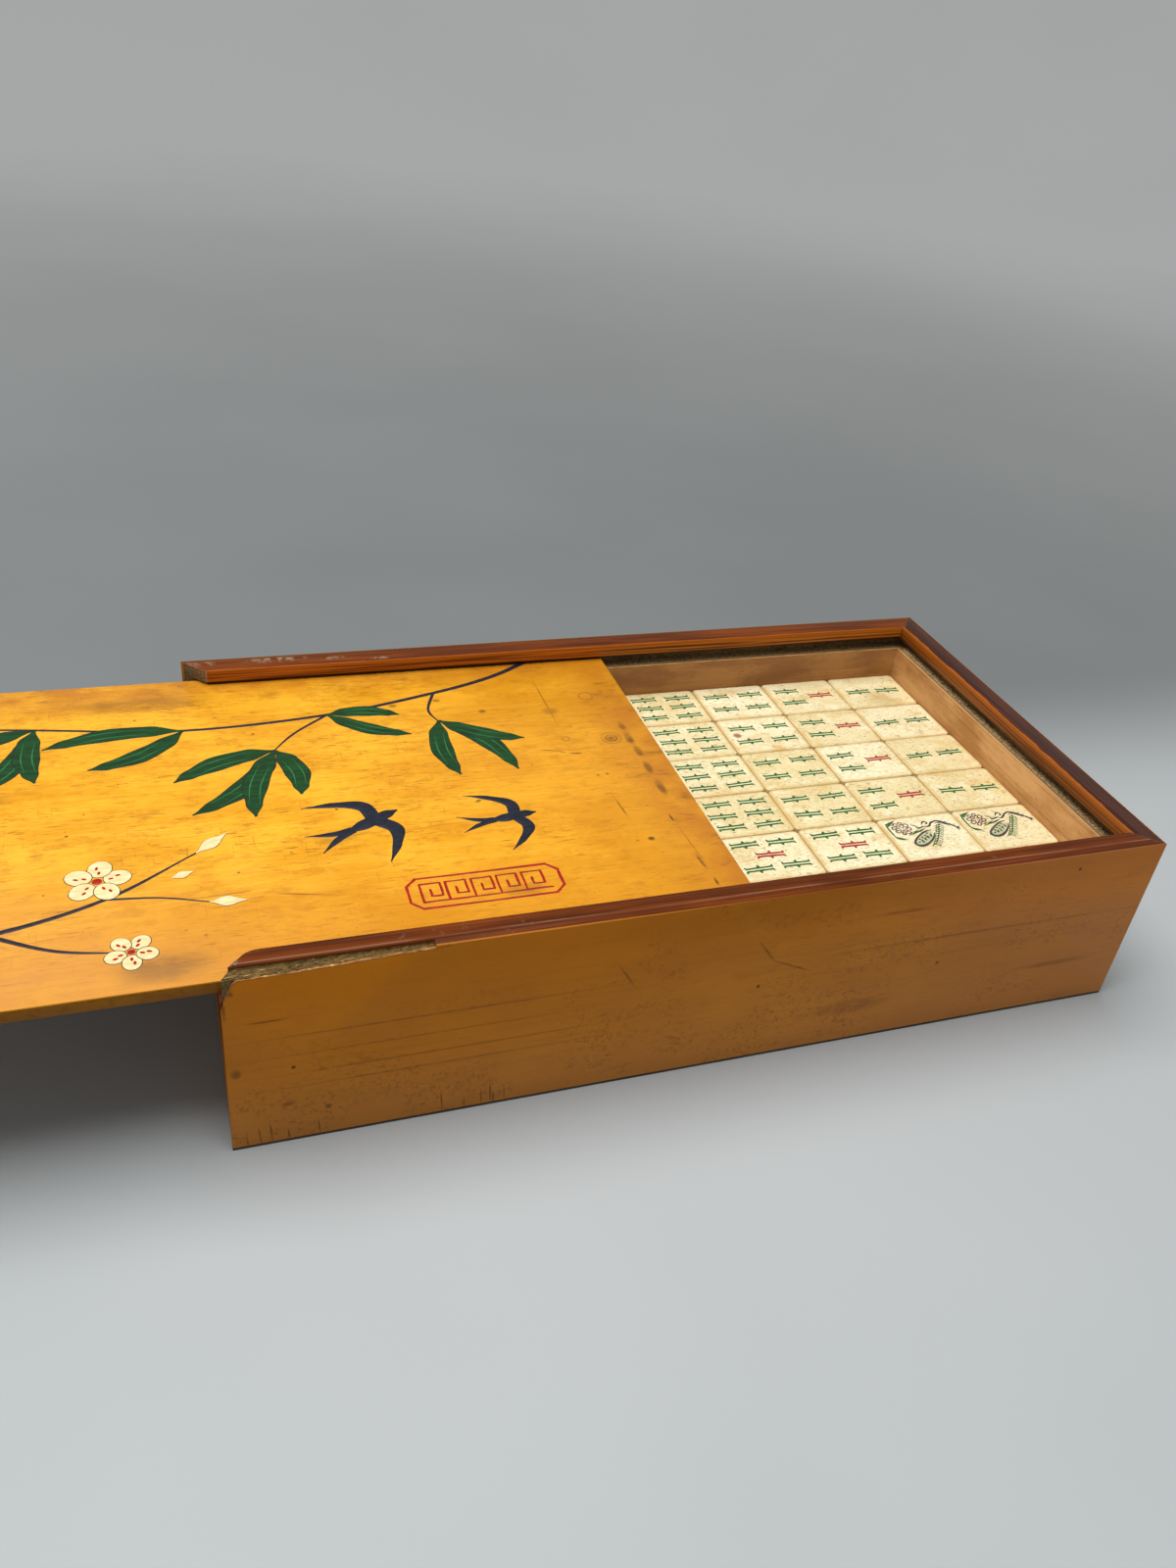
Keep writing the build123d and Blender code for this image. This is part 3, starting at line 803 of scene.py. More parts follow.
def bird_marks(rnd):
    """A long-tailed bird hanging beside an open flower, in fine carved lines over a pale wash."""
    marks = []

    def stroke(points, colour, widths, shake=0.1):
        moved = [(x + rnd.uniform(-shake, shake), y + rnd.uniform(-shake, shake)) for x, y in points]
        marks.append(Mark(brush(moved, [w * 1.12 for w in widths], 5), colour, 0.13))

    def dots(places, colour, across=0.3, up=0.22):
        for x, y in places:
            marks.append(Mark(ellipse((x, y), across, up, rnd.uniform(0, 90), count=7), colour, 0.13))

    # body: a washed oval, heavy at its lower left end, filled with speckles in slanting rows
    marks.append(Mark(ellipse((-2.6, -0.6), 5.2, 2.2, 29, count=18), HAZE, 0.05))
    breast = [(2.2, 3.2), (-0.6, 2.6), (-4, 0.8), (-6.8, -1.6), (-7.6, -3.2)]
    stroke(breast, BLUE, [0.16, 0.3, 0.3, 0.36, 0.5])
    stroke([(-7.7, -2.8), (-6.8, -4.2), (-4.6, -4.4), (-1.8, -3), (0.8, -0.8), (2.6, 1.6)], BLUE,
           [0.5, 0.62, 0.5, 0.36, 0.3, 0.16])
    for row in range(4):
        for step in range(6):
            x = -6.4 + 1.5 * step + 0.35 * row + 0.4 * (row % 2)
            y = -2.5 + 0.85 * step - 0.78 * row + 0.9
            if ((x + 2.6 + 0.5 * (y + 0.6)) / 4.8) ** 2 + ((y + 0.6 - 0.55 * (x + 2.6)) / 1.9) ** 2 < 1:
                colour = GREEN if (row + step) % 2 else BLUE
                speckle = [(x - 0.5, y + 0.1), (x, y - 0.3), (x + 0.45, y + 0.3)]
                stroke(speckle, colour, [0.14, 0.30, 0.14], 0.15)
    # a long leaf over the body, and the wing's barbed band down to the right of it
    stroke([(-7.6, 1.7), (-4.6, 2.5), (-1.8, 3.4), (0.8, 4.4)], GREEN, [0.1, 0.3, 0.34, 0.12])
    stroke([(-6.4, 2.9), (-4.2, 3.2), (-2, 4.2)], GREEN, [0.06, 0.2, 0.08])
    band = [(7.2, 6.2), (5.6, 3.6), (3.8, 0.8), (1.4, -2.4), (-0.6, -4.6)]
    stroke(band, GREEN, [0.14, 0.2, 0.22, 0.2, 0.1])
    for (x, y), share in smooth_line(band, 3):
        if share > 0.2:
            stroke([(x, y), (x + 0.8, y - 0.8), (x + 0.9, y - 1.9)], GREEN, [0.2, 0.2, 0.06])
            stroke([(x, y), (x - 1.1, y - 0.1), (x - 1.9, y - 0.9)], GREEN, [0.2, 0.18, 0.06])
    # neck and head, then the back's line on to the tail, which ends in a feathered tip
    stroke([(-2.7, 7), (-2.2, 5.8), (-2, 4.9), (-0.4, 5.2), (1, 5.6)], BLUE, [0.1, 0.28, 0.36, 0.3, 0.16])
    stroke([(-2.4, 6.3), (-3.2, 6.6), (-3.7, 7.6)], BLUE, [0.2, 0.16, 0.04])
    stroke([(0.2, 6.4), (1.2, 7.7), (2.3, 7.9), (2.7, 6.9), (1.7, 6.3)], BLUE, [0.12, 0.3, 0.32, 0.3, 0.12])
    stroke([(0.6, 5.4), (1.8, 5), (3, 5.6), (4, 6.7), (5.2, 7.5)], BLUE, [0.14, 0.32, 0.34, 0.3, 0.2])
    stroke([(4.4, 6.6), (6.2, 7.7), (8.2, 7), (9.8, 5.6), (11.5, 3.9), (12.8, 2.4)], BLUE,
           [0.2, 0.34, 0.4, 0.36, 0.36, 0.16])
    stroke([(5.2, 6.2), (7.2, 6.7), (8.8, 5.6), (10.4, 4)], BLUE, [0.1, 0.24, 0.26, 0.1])
    for i in range(4):
        x = 9.0 + 1.0 * i
        y = 6.3 - 1.15 * i
        stroke([(x, y), (x + 0.9, y + 0.1), (x + 1.5, y - 0.4)], BLUE, [0.22, 0.16, 0.04])
    for tip in ((13.6, 2.5), (13.3, 1.4), (12.3, 1)):
        stroke([(12, 3.4), ((12 + tip[0]) / 2 + 0.2, (3.4 + tip[1]) / 2), tip], BLUE, [0.16, 0.26, 0.05])
    # flower: crowded petals round a dotted heart, with blue touches at its left
    heart = Vector((-8, 5.6))
    for count, foot, reach, first in ((8, 2.1, 3.3, 12), (6, 0.9, 2.1, 40)):
        for i in range(count):
            a = math.radians(360 / count * i + first)
            b = a + math.radians(360 / count * 0.9)
            tip = (a + b) / 2
            petal = [(a, foot), ((a + tip) / 2, reach), ((b + tip) / 2, reach), (b, foot)]
            arc = [heart + Vector((math.cos(v), math.sin(v))) * r for v, r in petal]
            colour = BLUE if abs(math.degrees(tip) - 190) < 50 else VIOLET
            stroke([tuple(p) for p in arc], colour, [0.14, 0.24, 0.24, 0.14], 0.15)
    spiral = [(1.3 * i, 0.5 + 0.12 * i) for i in range(5)]
    dots([tuple(heart + Vector((math.cos(a), math.sin(a))) * r) for a, r in spiral], VIOLET)
    # stem and leaves at the left
    stroke([(-12.5, 9), (-12.9, 6.4), (-12.8, 3.6), (-12.6, 1)], GREEN, [0.24, 0.3, 0.3, 0.2])
    stroke([(-12.7, 8.4), (-10.6, 9), (-8.4, 10.3)], GREEN, [0.3, 0.55, 0.06])
    stroke([(-12.6, 7.4), (-11.6, 8), (-10.4, 8)], GREEN, [0.2, 0.3, 0.05])
    stroke([(-12.7, 1.6), (-11.4, 0.4), (-8.8, -0.7)], GREEN, [0.3, 0.6, 0.06])
    return marks


def ring(middle, radius, half, colour):
    """A carved ring, made of two half rings that overlap a little."""
    marks = []
    for start in (0, 180):
        outline = []
        for reach, angles in ((radius + half, range(-6, 187, 12)), (radius - half, range(186, -7, -12))):
            for a in angles:
                turn = math.radians(start + a)
                outline.append((middle[0] + reach * math.cos(turn), middle[1] + reach * math.sin(turn)))
        marks.append(Mark(outline, colour))
    return marks


def circle_marks(count, rnd):
    """The suit of circles, two to nine of them in the usual rows."""
    rows = {
        2: [(-7, 0), (7, 0)], 3: [(-9, 6), (0, 0), (9, -6)], 4: [(-7, 5), (-7, -5), (7, 5), (7, -5)],
        5: [(-8.5, 5.6), (-8.5, -5.6), (0, 0), (8.5, 5.6), (8.5, -5.6)],
        6: [(x, y) for x in (-8.5, 1, 9) for y in (4.6, -4.6)],
        8: [(x, y) for x in (-10.2, -3.4, 3.4, 10.2) for y in (4.6, -4.6)],
        9: [(x, y) for x in (-9, 0, 9) for y in (6.8, 0, -6.8)],
    }[count]
    radius = 3.6 if count < 6 else 2.7
    marks = []
    for i, (x, y) in enumerate(rows):
        spot = (x + rnd.uniform(-0.2, 0.2), y + rnd.uniform(-0.2, 0.2))
        colour = [GREEN, BLUE, RED][i % 3] if count != 5 or i != 2 else RED
        marks.extend(ring(spot, radius, 0.32, colour))
        marks.extend(ring(spot, radius * 0.52, 0.24, colour))
        marks.append(Mark(ellipse(spot, 0.6, 0.6, count=9), RED if colour != RED else BLUE))
    return marks


# Tiles

EDGE_ROUNDING = 0.6
CORNER_ROUNDING = 1.8
CORNER_STEPS = 5
FACE_PLAY = 0.06
BORDER_WIDTH = 0.35


def rounded_plan(length, width, radius, steps=CORNER_STEPS):
    """A rectangle's outline with rounded corners, anticlockwise about the origin."""
    result = []
    for sx, sy, start in ((1, 1, 0), (-1, 1, 90), (-1, -1, 180), (1, -1, 270)):
        cx, cy = sx * (length / 2 - radius), sy * (width / 2 - radius)
        for i in range(steps + 1):
            a = math.radians(start + 90 * i / steps)
            result.append((cx + radius * math.cos(a), cy + radius * math.sin(a)))
    return result


def dovetail(face):
    """Half the width of the tail's foot, read from a packed tile face."""
    reach = {}
    for v in nodes[face].data.vertices:
        x, y, z = v.co / MM
        reach[round(z, 1)] = max(reach.get(round(z, 1), 0), abs(y - tile_middle.y))
    return reach[round(tile_low.z, 1)]


TAIL_REACH = dovetail("two_bamboo_1_face")
TAIL_FLARE = 1.6


def tile_face(marks, rnd, steps=CORNER_STEPS, with_tail=True):
    """A bone face about the origin, from its joint up to its carved top."""
    length = tile_length - FACE_PLAY
    width = tile_width - FACE_PLAY
    height = tile_top - tile_joint
    rounding = EDGE_ROUNDING + rnd.uniform(-0.1, 0.15)
    levels = [(0.15, 0.0), (0.0, 0.15)]
    for a in (0, math.radians(30), math.radians(60), math.radians(90)):
        levels.append((rounding * (1 - math.cos(a)), height - rounding * (1 - math.sin(a))))
    plans = [rounded_plan(length - 2 * d, width - 2 * d, CORNER_ROUNDING - 0.6 * d, steps) for d, _ in levels]
    count = len(plans[0])
    shape = Shape()
    sides = [(x, y, z) for plan, (_, z) in zip(plans, levels) for x, y in plan]
    shape.add(sides, strip(len(levels), count, closed=True) + [list(range(count))[::-1]])
    inset = 2 * (rounding + BORDER_WIDTH)
    border = rounded_plan(length - inset, width - inset, CORNER_ROUNDING - 0.7, steps)
    top, top_faces, top_inks = relief(marks, [plans[-1], border])
    shape.add([(x, y, height - depth) for x, y, depth in top], top_faces, top_inks)
    if with_tail:
        neck = TAIL_REACH - TAIL_FLARE
        tail = []
        for x in (-length / 2, length / 2):
            tail += [(x, -neck, 0.05), (x, neck, 0.05)]
            tail += [(x, TAIL_REACH, -dovetail_depth), (x, -TAIL_REACH, -dovetail_depth)]
        shape.add(tail, [(0, 1, 2, 3), (7, 6, 5, 4), (0, 4, 5, 1), (1, 5, 6, 2), (2, 6, 7, 3), (3, 7, 4, 0)])
    return shape


def placed(shape, middle, rnd, foot):
    """A tile face moved to its place and turned a little, as tiles lie."""
    turn = Matrix.Rotation(math.radians(rnd.uniform(-0.25, 0.25)), 3, "Z")
    moved = [turn @ Vector(p) for p in shape.points]
    shape.points = [(middle[0] + q.x, middle[1] + q.y, foot + q.z) for q in moved]
    return shape


NUMBERS = ("bird", "two", "three", "four", "five", "six", "seven", "eight", "nine")


def suit_marks(kind, rnd):
    """The marks of a bamboo tile, for the word that names it. The bird stands for one."""
    number = 1 + NUMBERS.index(kind)
    return bird_marks(rnd) if number == 1 else bamboo_marks(number, rnd)


def loose_tiles(materials):
    """Every loose tile's bone face, carved, on its own body."""
    for node in sorted(nodes):
        if not node.endswith("_face"):
            continue
        body = node[:-len("_face")]
        rnd = random.Random(body)
        low, high = box_mm(node)
        face = tile_face(suit_marks(body.split("_")[0], rnd), rnd)
        piece = new_piece(body + "_carved", placed(face, (low + high) / 2, rnd, tile_joint), materials, body)
        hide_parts(node)


# The case's fixed tiles: columns of the top layer beyond the loose ones, then those that the well leaves open
STORED_COLUMNS = [["six"] * 4 + ["five"] * 2, ["seven"] * 4 + ["eight"] * 2, ["nine"] * 4 + ["eight"] * 2]
WELL_COLUMNS = [[2, 2, 3, 3, 4, 4], [5, 5, 6, 6, 8, 8], [9, 9, 5, 4, 3, 2]]
LOOSE_COLUMNS = 3
COLUMNS = 9
ROWS = 6


def stored_tiles(materials):
    """The faces of the tiles that stay put: carved where they can be seen, plain where tiles cover them."""
    shape = Shape()

    def add(face, column, row, rnd, joint):
        middle = (tile_middle.x - column * column_pitch, tile_middle.y - row * row_pitch)
        shape.join(placed(face, middle, rnd, joint))

    for c, kinds in enumerate(STORED_COLUMNS):
        for row, kind in enumerate(kinds):
            rnd = random.Random(100 + 10 * c + row)
            add(tile_face(suit_marks(kind, rnd), rnd), LOOSE_COLUMNS + c, row, rnd, tile_joint)
    for layer in (1, 2):
        joint = tile_joint - layer * tile_thickness
        for column in range(COLUMNS):
            for row in range(ROWS):
                rnd = random.Random(1000 * layer + 10 * column + row)
                seen = layer == 1 and column >= COLUMNS - len(WELL_COLUMNS)
                marks = circle_marks(WELL_COLUMNS[column - COLUMNS][row], rnd) if seen else []
                face = tile_face(marks, rnd, CORNER_STEPS if seen else 2, with_tail=seen)
                add(face, column, row, rnd, joint)
    piece = new_piece("stored_faces_carved", shape, materials)
    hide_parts("stored_tile_faces")


# Lid painting

BORDER, LEAF, VEIN, CREAM, NAVY, SCARLET, TWIG = range(7)
PAINT_HEIGHT = 0.1
PAINT_SINK = 0.02
painting = []


def add_mark(outline, colour, height=PAINT_HEIGHT):
    painting.append(Mark(outline, colour, height))


def leaf(base, tip, width, bend=0.12):
    """A lance-shaped leaf from base to tip, bent to one side, with a dark edge and lighter veins."""
    base, tip = Vector(base), Vector(tip)
    along = tip - base
    side = Vector((-along.y, along.x)) * bend
    bow = [(0.25, 0.7), (0.55, 1.0), (0.82, 0.55)]
    line = [base] + [base + along * share + side * out for share, out in bow] + [tip]
    shape = [0.25, width * 0.42, width * 0.5, width * 0.3, 0.12]
    add_mark(brush(line, [w + 0.3 for w in shape], 10), BORDER)
    add_mark(brush(line, shape, 10), LEAF)
    for shift in (0.22, -0.2):
        vein = [p + Vector((-along.y, along.x)).normalized() * shift * width for p in line[1:4]]
        add_mark(brush(vein, [0.05, 0.22, 0.05], 6), VEIN)


def spray(at, heading, lengths, spread, width):
    """A spray of leaves from one point, fanned about a heading in degrees."""
    for i, length in enumerate(lengths):
        angle = math.radians(heading + spread * (i - (len(lengths) - 1) / 2))
        tip = (at[0] + length * math.cos(angle), at[1] + length * math.sin(angle))
        leaf(at, tip, width, 0.10 if i % 2 else -0.08)


def blossom(middle, radius, turn):
    """A pale five-petalled flower with red dots about its heart."""
    for i in range(5):
        a = math.radians(72 * i + turn)
        out = Vector((math.cos(a), math.sin(a)))
        centre = Vector(middle) + out * radius * 0.62
        add_mark(ellipse(centre, radius * 0.45, radius * 0.40, 72 * i + turn, 16), BORDER)
        add_mark(ellipse(centre, radius * 0.45 - 0.25, radius * 0.40 - 0.25, 72 * i + turn, 16), CREAM)
        for share, aside in ((0.42, 0.0), (0.66, 9.0)):
            b = a + math.radians(aside)
            dot = Vector(middle) + Vector((math.cos(b), math.sin(b))) * radius * share
            add_mark(ellipse(dot, 0.75, 0.42, 72 * i + turn, 8), SCARLET)
    add_mark(ellipse(middle, radius * 0.16, radius * 0.16, 0, 10), SCARLET)


def bud(base, tip, width):
    """A closed pale bud with a dark edge."""
    line = [Vector(base), Vector(base).lerp(Vector(tip), 0.45), Vector(tip)]
    add_mark(brush(line, [0.4, width * 0.5 + 0.25, 0.25], 8), BORDER)
    add_mark(brush(line, [0.2, width * 0.5, 0.08], 8), CREAM)


def twig(points, widths):
    add_mark(brush(points, widths, 8), TWIG)


def swallow(middle, heading, size):
    """A swallow in flight seen from above, in dark blue, with a forked tail."""
    def part(points, widths):
        moved = turned(points, middle, heading, size)
        add_mark(brush(moved, [w * size for w in widths], 8), NAVY)

    part([(0.50, 0.0), (0.32, 0.01), (0.0, 0.0), (-0.25, 0.0)], [0.02, 0.085, 0.10, 0.04])
    part([(0.16, 0.03), (0.20, 0.32), (-0.05, 0.55), (-0.42, 0.74)], [0.10, 0.10, 0.06, 0.01])
    part([(0.16, -0.03), (0.24, -0.30), (0.06, -0.55), (-0.22, -0.78)], [0.10, 0.10, 0.06, 0.01])
    part([(-0.18, 0.01), (-0.42, 0.07), (-0.72, 0.24)], [0.055, 0.05, 0.01])
    part([(-0.18, -0.01), (-0.44, -0.05), (-0.74, -0.16)], [0.055, 0.05, 0.01])


def line_mark(points, half, colour, rnd):
    """A hand-drawn line of straight runs, each a little uneven."""
    for a, b in zip(points, points[1:]):
        a, b = Vector(a), Vector(b)
        over = (b - a).normalized() * half * 0.8
        middle = (a + b) / 2 + Vector((rnd.uniform(-0.12, 0.12), rnd.uniform(-0.12, 0.12)))
        widths = [half * rnd.uniform(0.75, 1.1) for _ in range(3)]
        add_mark(brush([a - over, middle, b + over], widths, 3), colour)


def cartouche(low, high, corner, units, rnd):
    """An eight-sided panel in thin red line with a plain key pattern in it."""
    (x0, y0), (x1, y1) = low, high
    outline = [(x0 + corner, y0), (x1 - corner, y0), (x1, y0 + corner), (x1, y1 - corner),
               (x1 - corner, y1), (x0 + corner, y1), (x0, y1 - corner), (x0, y0 + corner)]
    line_mark(outline + outline[:1], 0.52, SCARLET, rnd)
    inset = corner + 0.6
    step = (x1 - x0 - 2 * inset) / units
    foot, head = y0 + 2.6, y1 - 2.6
    reach = head - foot
    for i in range(units):
        x = x0 + inset + i * step
        run = [(x, foot), (x, head), (x + step * 0.78, head), (x + step * 0.78, foot + reach * 0.3),
               (x + step * 0.36, foot + reach * 0.3), (x + step * 0.36, head - reach * 0.34)]
        line_mark(run, 0.42, SCARLET, rnd)
        line_mark([(x, foot), (x + step, foot)], 0.42, SCARLET, rnd)


def paint_lid():
    """The lid's painting: bamboo sprays, a blossoming twig, two swallows and a red panel."""
    rnd = random.Random(7)
    # bamboo hanging in from the back
    branch = [(-22, 73.5), (-40, 63), (-64, 54.5), (-100, 46), (-146, 43), (-190, 50), (-236, 58)]
    twig(branch, [1.1, 1.0, 0.9, 0.8, 0.7, 0.6, 0.3])
    twig([(-100, 46), (-112, 36), (-120, 26)], [0.6, 0.5, 0.3])
    twig([(-62, 55), (-66, 44), (-64, 36)], [0.6, 0.5, 0.3])
    spray((-64, 37), -60, [33, 38, 30], 30, 7.0)
    spray((-119, 27), -118, [34, 41, 36, 26], 26, 7.5)
    spray((-100, 46), -20, [30, 24], 24, 6.0)
    spray((-146, 43), -160, [42, 34], 26, 7.0)
    spray((-190, 50), -118, [38, 42, 30], 30, 7.5)
    spray((-236, 58), -150, [34, 36], 40, 7.0)
    # a blossoming twig rising from the front left
    twig([(-266, -58), (-232, -50), (-198, -47), (-170, -38), (-146, -22)], [1.2, 1.1, 0.9, 0.7, 0.35])
    twig([(-198, -47), (-182, -56), (-166, -60)], [0.8, 0.6, 0.3])
    twig([(-232, -50), (-220, -34), (-204, -24)], [0.9, 0.6, 0.3])
    twig([(-170, -38), (-156, -40), (-144, -44)], [0.5, 0.4, 0.3])
    blossom((-172, -30), 8.5, 10)
    blossom((-204, -22), 8.0, 40)
    blossom((-238, -42), 8.5, 25)
    blossom((-164, -60), 6.5, 55)
    bud((-146, -22), (-137, -14), 4.2)
    bud((-144, -44), (-134, -45), 4.0)
    bud((-153, -32), (-147, -30), 3.0)
    bud((-214, -30), (-217, -22), 3.4)
    # two swallows
    swallow((-98, -17), 28, 24.0)
    swallow((-56, -21), 8, 20.0)
    # the red panel
    cartouche((-92, -58), (-48, -45), 3.0, 5, rnd)


def lid_painting():
    """All the paint on the lid in one thin raised layer."""
    paint_lid()
    points, faces, colours = relief(painting, slope=0.18)
    shape = Shape()
    shape.add([(x, y, lid_top - PAINT_SINK + depth) for x, y, depth in points], faces, colours)
    materials = [
        enamel("paint_border", "101410", "1c2418"),
        enamel("paint_leaf", "082c0c", "0e3e16", (7, 1.4, 2)),
        enamel("paint_vein", "1f5c32", "2c6a3c"),
        enamel("paint_cream", "d6b882", "e4cb9c"),
        enamel("paint_navy", "10131c", "1a1e2c"),
        enamel("paint_scarlet", "800c02", "a01404"),
        enamel("paint_twig", "17131c", "2a222a"),
    ]
    new_piece("lid_painting", shape, materials, "lid")


# The splintered corner and the dice

CHIP_LENGTH = 54.0
CHIP_DROP = 1.9
CHIP_DEPTH = 2.6
FIBRE_STEP = 0.3
TEAR_STEP = 0.5
SPLINTERS = 13
SPLINTER_GAP = 3.9
SLIVER_STEPS = 8
SLIVER_SIDES = 5
# The torn veneer's edge: along the front from the left corner, and down from the case's top
TORN_EDGE = [(1.1, 8.6), (3, 3.7), (4.3, 2.4), (18, 2.3), (30, 1.8), (43, 1.1), (54, 0.8), (60, 0.1)]


def fibre_noise(x, y, z, seed):
    """Uneven relief drawn out along the board, from -1 to 1."""
    wide = noise.noise(Vector((x / 2.2 + seed, y / 0.8, z / 0.8)))
    fine = noise.noise(Vector((x / 0.8, y / 0.4 + seed, z / 0.4)))
    return 0.5 * wide + 0.5 * fine


def chip_fibres(material):
    """Rough broken fibres over the split edge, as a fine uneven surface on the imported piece's plain one."""
    start = -half_length + 0.3
    end = -half_length + CHIP_LENGTH + 0.4
    outer = -half_width
    shelf = case_top - CHIP_DROP
    profile = [
        (outer + 0.25, shelf - 0.55), (outer + 0.7, shelf - 0.15), (outer + CHIP_DEPTH * 0.6, shelf + 0.25),
        (outer + CHIP_DEPTH, shelf + 0.6), (outer + CHIP_DEPTH + 0.1, case_top - cap_thickness),
    ]
    line = [p for p, _ in smooth_line(profile, 4)]
    count = int((end - start) / FIBRE_STEP)
    points = []
    for i in range(count + 1):
        x = start + (end - start) * i / count
        for j, p in enumerate(line):
            lift = 0.12 + 0.42 * fibre_noise(x, p.x, p.y, 3.0)
            if j in (0, len(line) - 1):
                lift = min(lift, 0.0) - 0.1
            mitre = -half_length + (p.x - outer) + 0.1 + 0.25 * abs(fibre_noise(0.0, p.x, p.y, 9.0))
            points.append((max(x, mitre), p.x - 0.75 * lift, p.y + 0.65 * lift))
    shape = Shape()
    shape.add(points, strip(count + 1, len(line), turned_over=True))
    new_piece("chip_fibres", shape, [material], sharp=60)


def sliver(start, end, half, rise, rnd):
    """A thin splinter between two points: rings of a drawn-out lozenge along a ragged line."""
    start, end = Vector(start), Vector(end)
    angles = [math.pi * 2 * k / SLIVER_SIDES + 0.4 for k in range(SLIVER_SIDES)]
    points = []
    for i in range(SLIVER_STEPS + 1):
        t = i / SLIVER_STEPS
        middle = start.lerp(end, t) + Vector((0, 0, rise * math.sin(math.pi * t)))
        middle += Vector((0, rnd.uniform(-0.06, 0.06), rnd.uniform(-0.06, 0.06)))
        size = half * (0.12 + math.sin(math.pi * min(t * 1.15 + 0.08, 1.0)) ** 0.8)
        points += [middle + Vector((0, size * math.cos(a), size * 0.7 * math.sin(a))) for a in angles]
    return points


def splinters(material):
    """Loose splinters along the split edge and at the mitred corner."""
    rnd = random.Random(31)
    front = -half_width
    runs = []
    for i in range(SPLINTERS):
        x = -half_length + 2 + SPLINTER_GAP * i + rnd.uniform(-1, 1)
        y = front + rnd.uniform(0.5, 2.2)
        runs.append((x, y, rnd.uniform(2.5, 6.0)))
    ends = [list(range(SLIVER_SIDES))[::-1], [SLIVER_STEPS * SLIVER_SIDES + k for k in range(SLIVER_SIDES)]]
    shape = Shape()
    for x, y, length in runs:
        z = case_top - CHIP_DROP - 0.1 + (y - front) * 0.22
        tip = (x + length, y + rnd.uniform(-0.4, 0.4), z + rnd.uniform(-0.1, 0.25))
        points = sliver((x, y, z), tip, rnd.uniform(0.07, 0.15), rnd.uniform(0, 0.15), rnd)
        shape.add(points, strip(SLIVER_STEPS + 1, SLIVER_SIDES, closed=True) + ends)
    new_piece("splinters", shape, [material], sharp=60)


def torn_edge(material):
    """The pale ragged edge of the torn veneer, along the tear from the mitre to where it closes."""
    rnd = random.Random(12)
    line = []
    for (x0, d0), (x1, d1) in zip(TORN_EDGE, TORN_EDGE[1:]):
        steps = max(int(math.hypot(x1 - x0, d1 - d0) / TEAR_STEP), 1)
        line += [(x0 + (x1 - x0) * i / steps, d0 + (d1 - d0) * i / steps) for i in range(steps)]
    line.append(TORN_EDGE[-1])
    points = []
    for i, (x, d) in enumerate(line):
        x0, d0 = line[max(i - 1, 0)]
        x1, d1 = line[min(i + 1, len(line) - 1)]
        ahead = Vector((x1 - x0, -(d1 - d0))).normalized()
        up = Vector((-ahead.y, ahead.x))
        if up.y < 0:
            up = -up
        share = min(1.0, 3.0 * i / len(line), 4.0 * (1 - i / (len(line) - 1)))
        high = 0.06 + 0.16 * share * abs(noise.noise(Vector((x / 1.3, 0.3, d)))) + rnd.uniform(0, 0.08)
        low = -0.10 - 0.24 * share * abs(noise.noise(Vector((x / 2.4, 7.3, d)))) - rnd.uniform(0, 0.06)
        base = Vector((-half_length + x, case_top - d))
        rows = [(low, -0.015), (low * 0.35, 0.07), (high * 0.5, 0.10), (high, -0.25), (high * 0.8, -0.68)]
        for reach, proud in rows:
            spot = base + up * reach
            points.append((spot.x, -half_width - proud, min(spot.y, case_top - 0.05)))
    shape = Shape()
    shape.add(points, strip(len(line), len(rows), turned_over=True))
    new_piece("torn_edge", shape, [material], sharp=60)


DIE_ROUNDING = 0.9
PIP_RADIUS = 0.85
LONE_PIP_RADIUS = 1.45
PIP_PITCH = 2.3
PIP_DEPTH = 0.35
PIPS = {
    1: [(0, 0)], 2: [(-1, -1), (1, 1)], 3: [(-1, -1), (0, 0), (1, 1)],
    4: [(-1, -1), (-1, 1), (1, -1), (1, 1)], 5: [(-1, -1), (-1, 1), (0, 0), (1, -1), (1, 1)],
    6: [(-1, -1), (-1, 0), (-1, 1), (1, -1), (1, 0), (1, 1)],
}


def die(size, edge):
    """A die about the origin with rounded edges and sunken pips."""
    half = size / 2
    inner = half - edge
    cuts = [-half + edge * i / 3 for i in range(4)]
    cuts += [-c for c in reversed(cuts)]
    across = len(cuts)
    middle_quad = (across - 1) * 3 + 3
    square = [(-inner, -inner), (inner, -inner), (inner, inner), (-inner, inner)]
    sides = [(1, "X", 0), (6, "X", 180), (2, "X", 90), (5, "X", -90), (3, "Y", 90), (4, "Y", -90)]

    def rounded(p):
        core = Vector([min(max(c, -inner), inner) for c in p])
        away = p - core
        outside = away.length > edge * 0.999 and p.z > half - 1e-6
        return core + away.normalized() * edge if outside else p

    shape = Shape()
    for count, axis, degrees in sides:
        side = Shape()
        quads = strip(across, across)
        del quads[middle_quad]
        side.add([Vector((x, y, half)) for y in cuts for x in cuts], quads)
        radius = LONE_PIP_RADIUS if count == 1 else PIP_RADIUS
        colour = 2 if count in (1, 4) else 1
        spots = [(x * PIP_PITCH, y * PIP_PITCH) for x, y in PIPS[count]]
        marks = [Mark(ellipse(spot, radius, radius), colour, PIP_DEPTH) for spot in spots]
        top, top_faces, top_inks = relief(marks, [square], slope=0.4)
        side.add([Vector((x, y, half - depth)) for x, y, depth in top], top_faces, top_inks)
        turn = Matrix.Rotation(math.radians(degrees), 3, axis)
        shape.add([turn @ rounded(p) for p in side.points], side.faces, side.inks)
    return shape


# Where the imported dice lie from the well's corner, with their turns in degrees
DICE = [((24.0, 42.0), 18.0), ((41.0, 55.0), -34.0)]


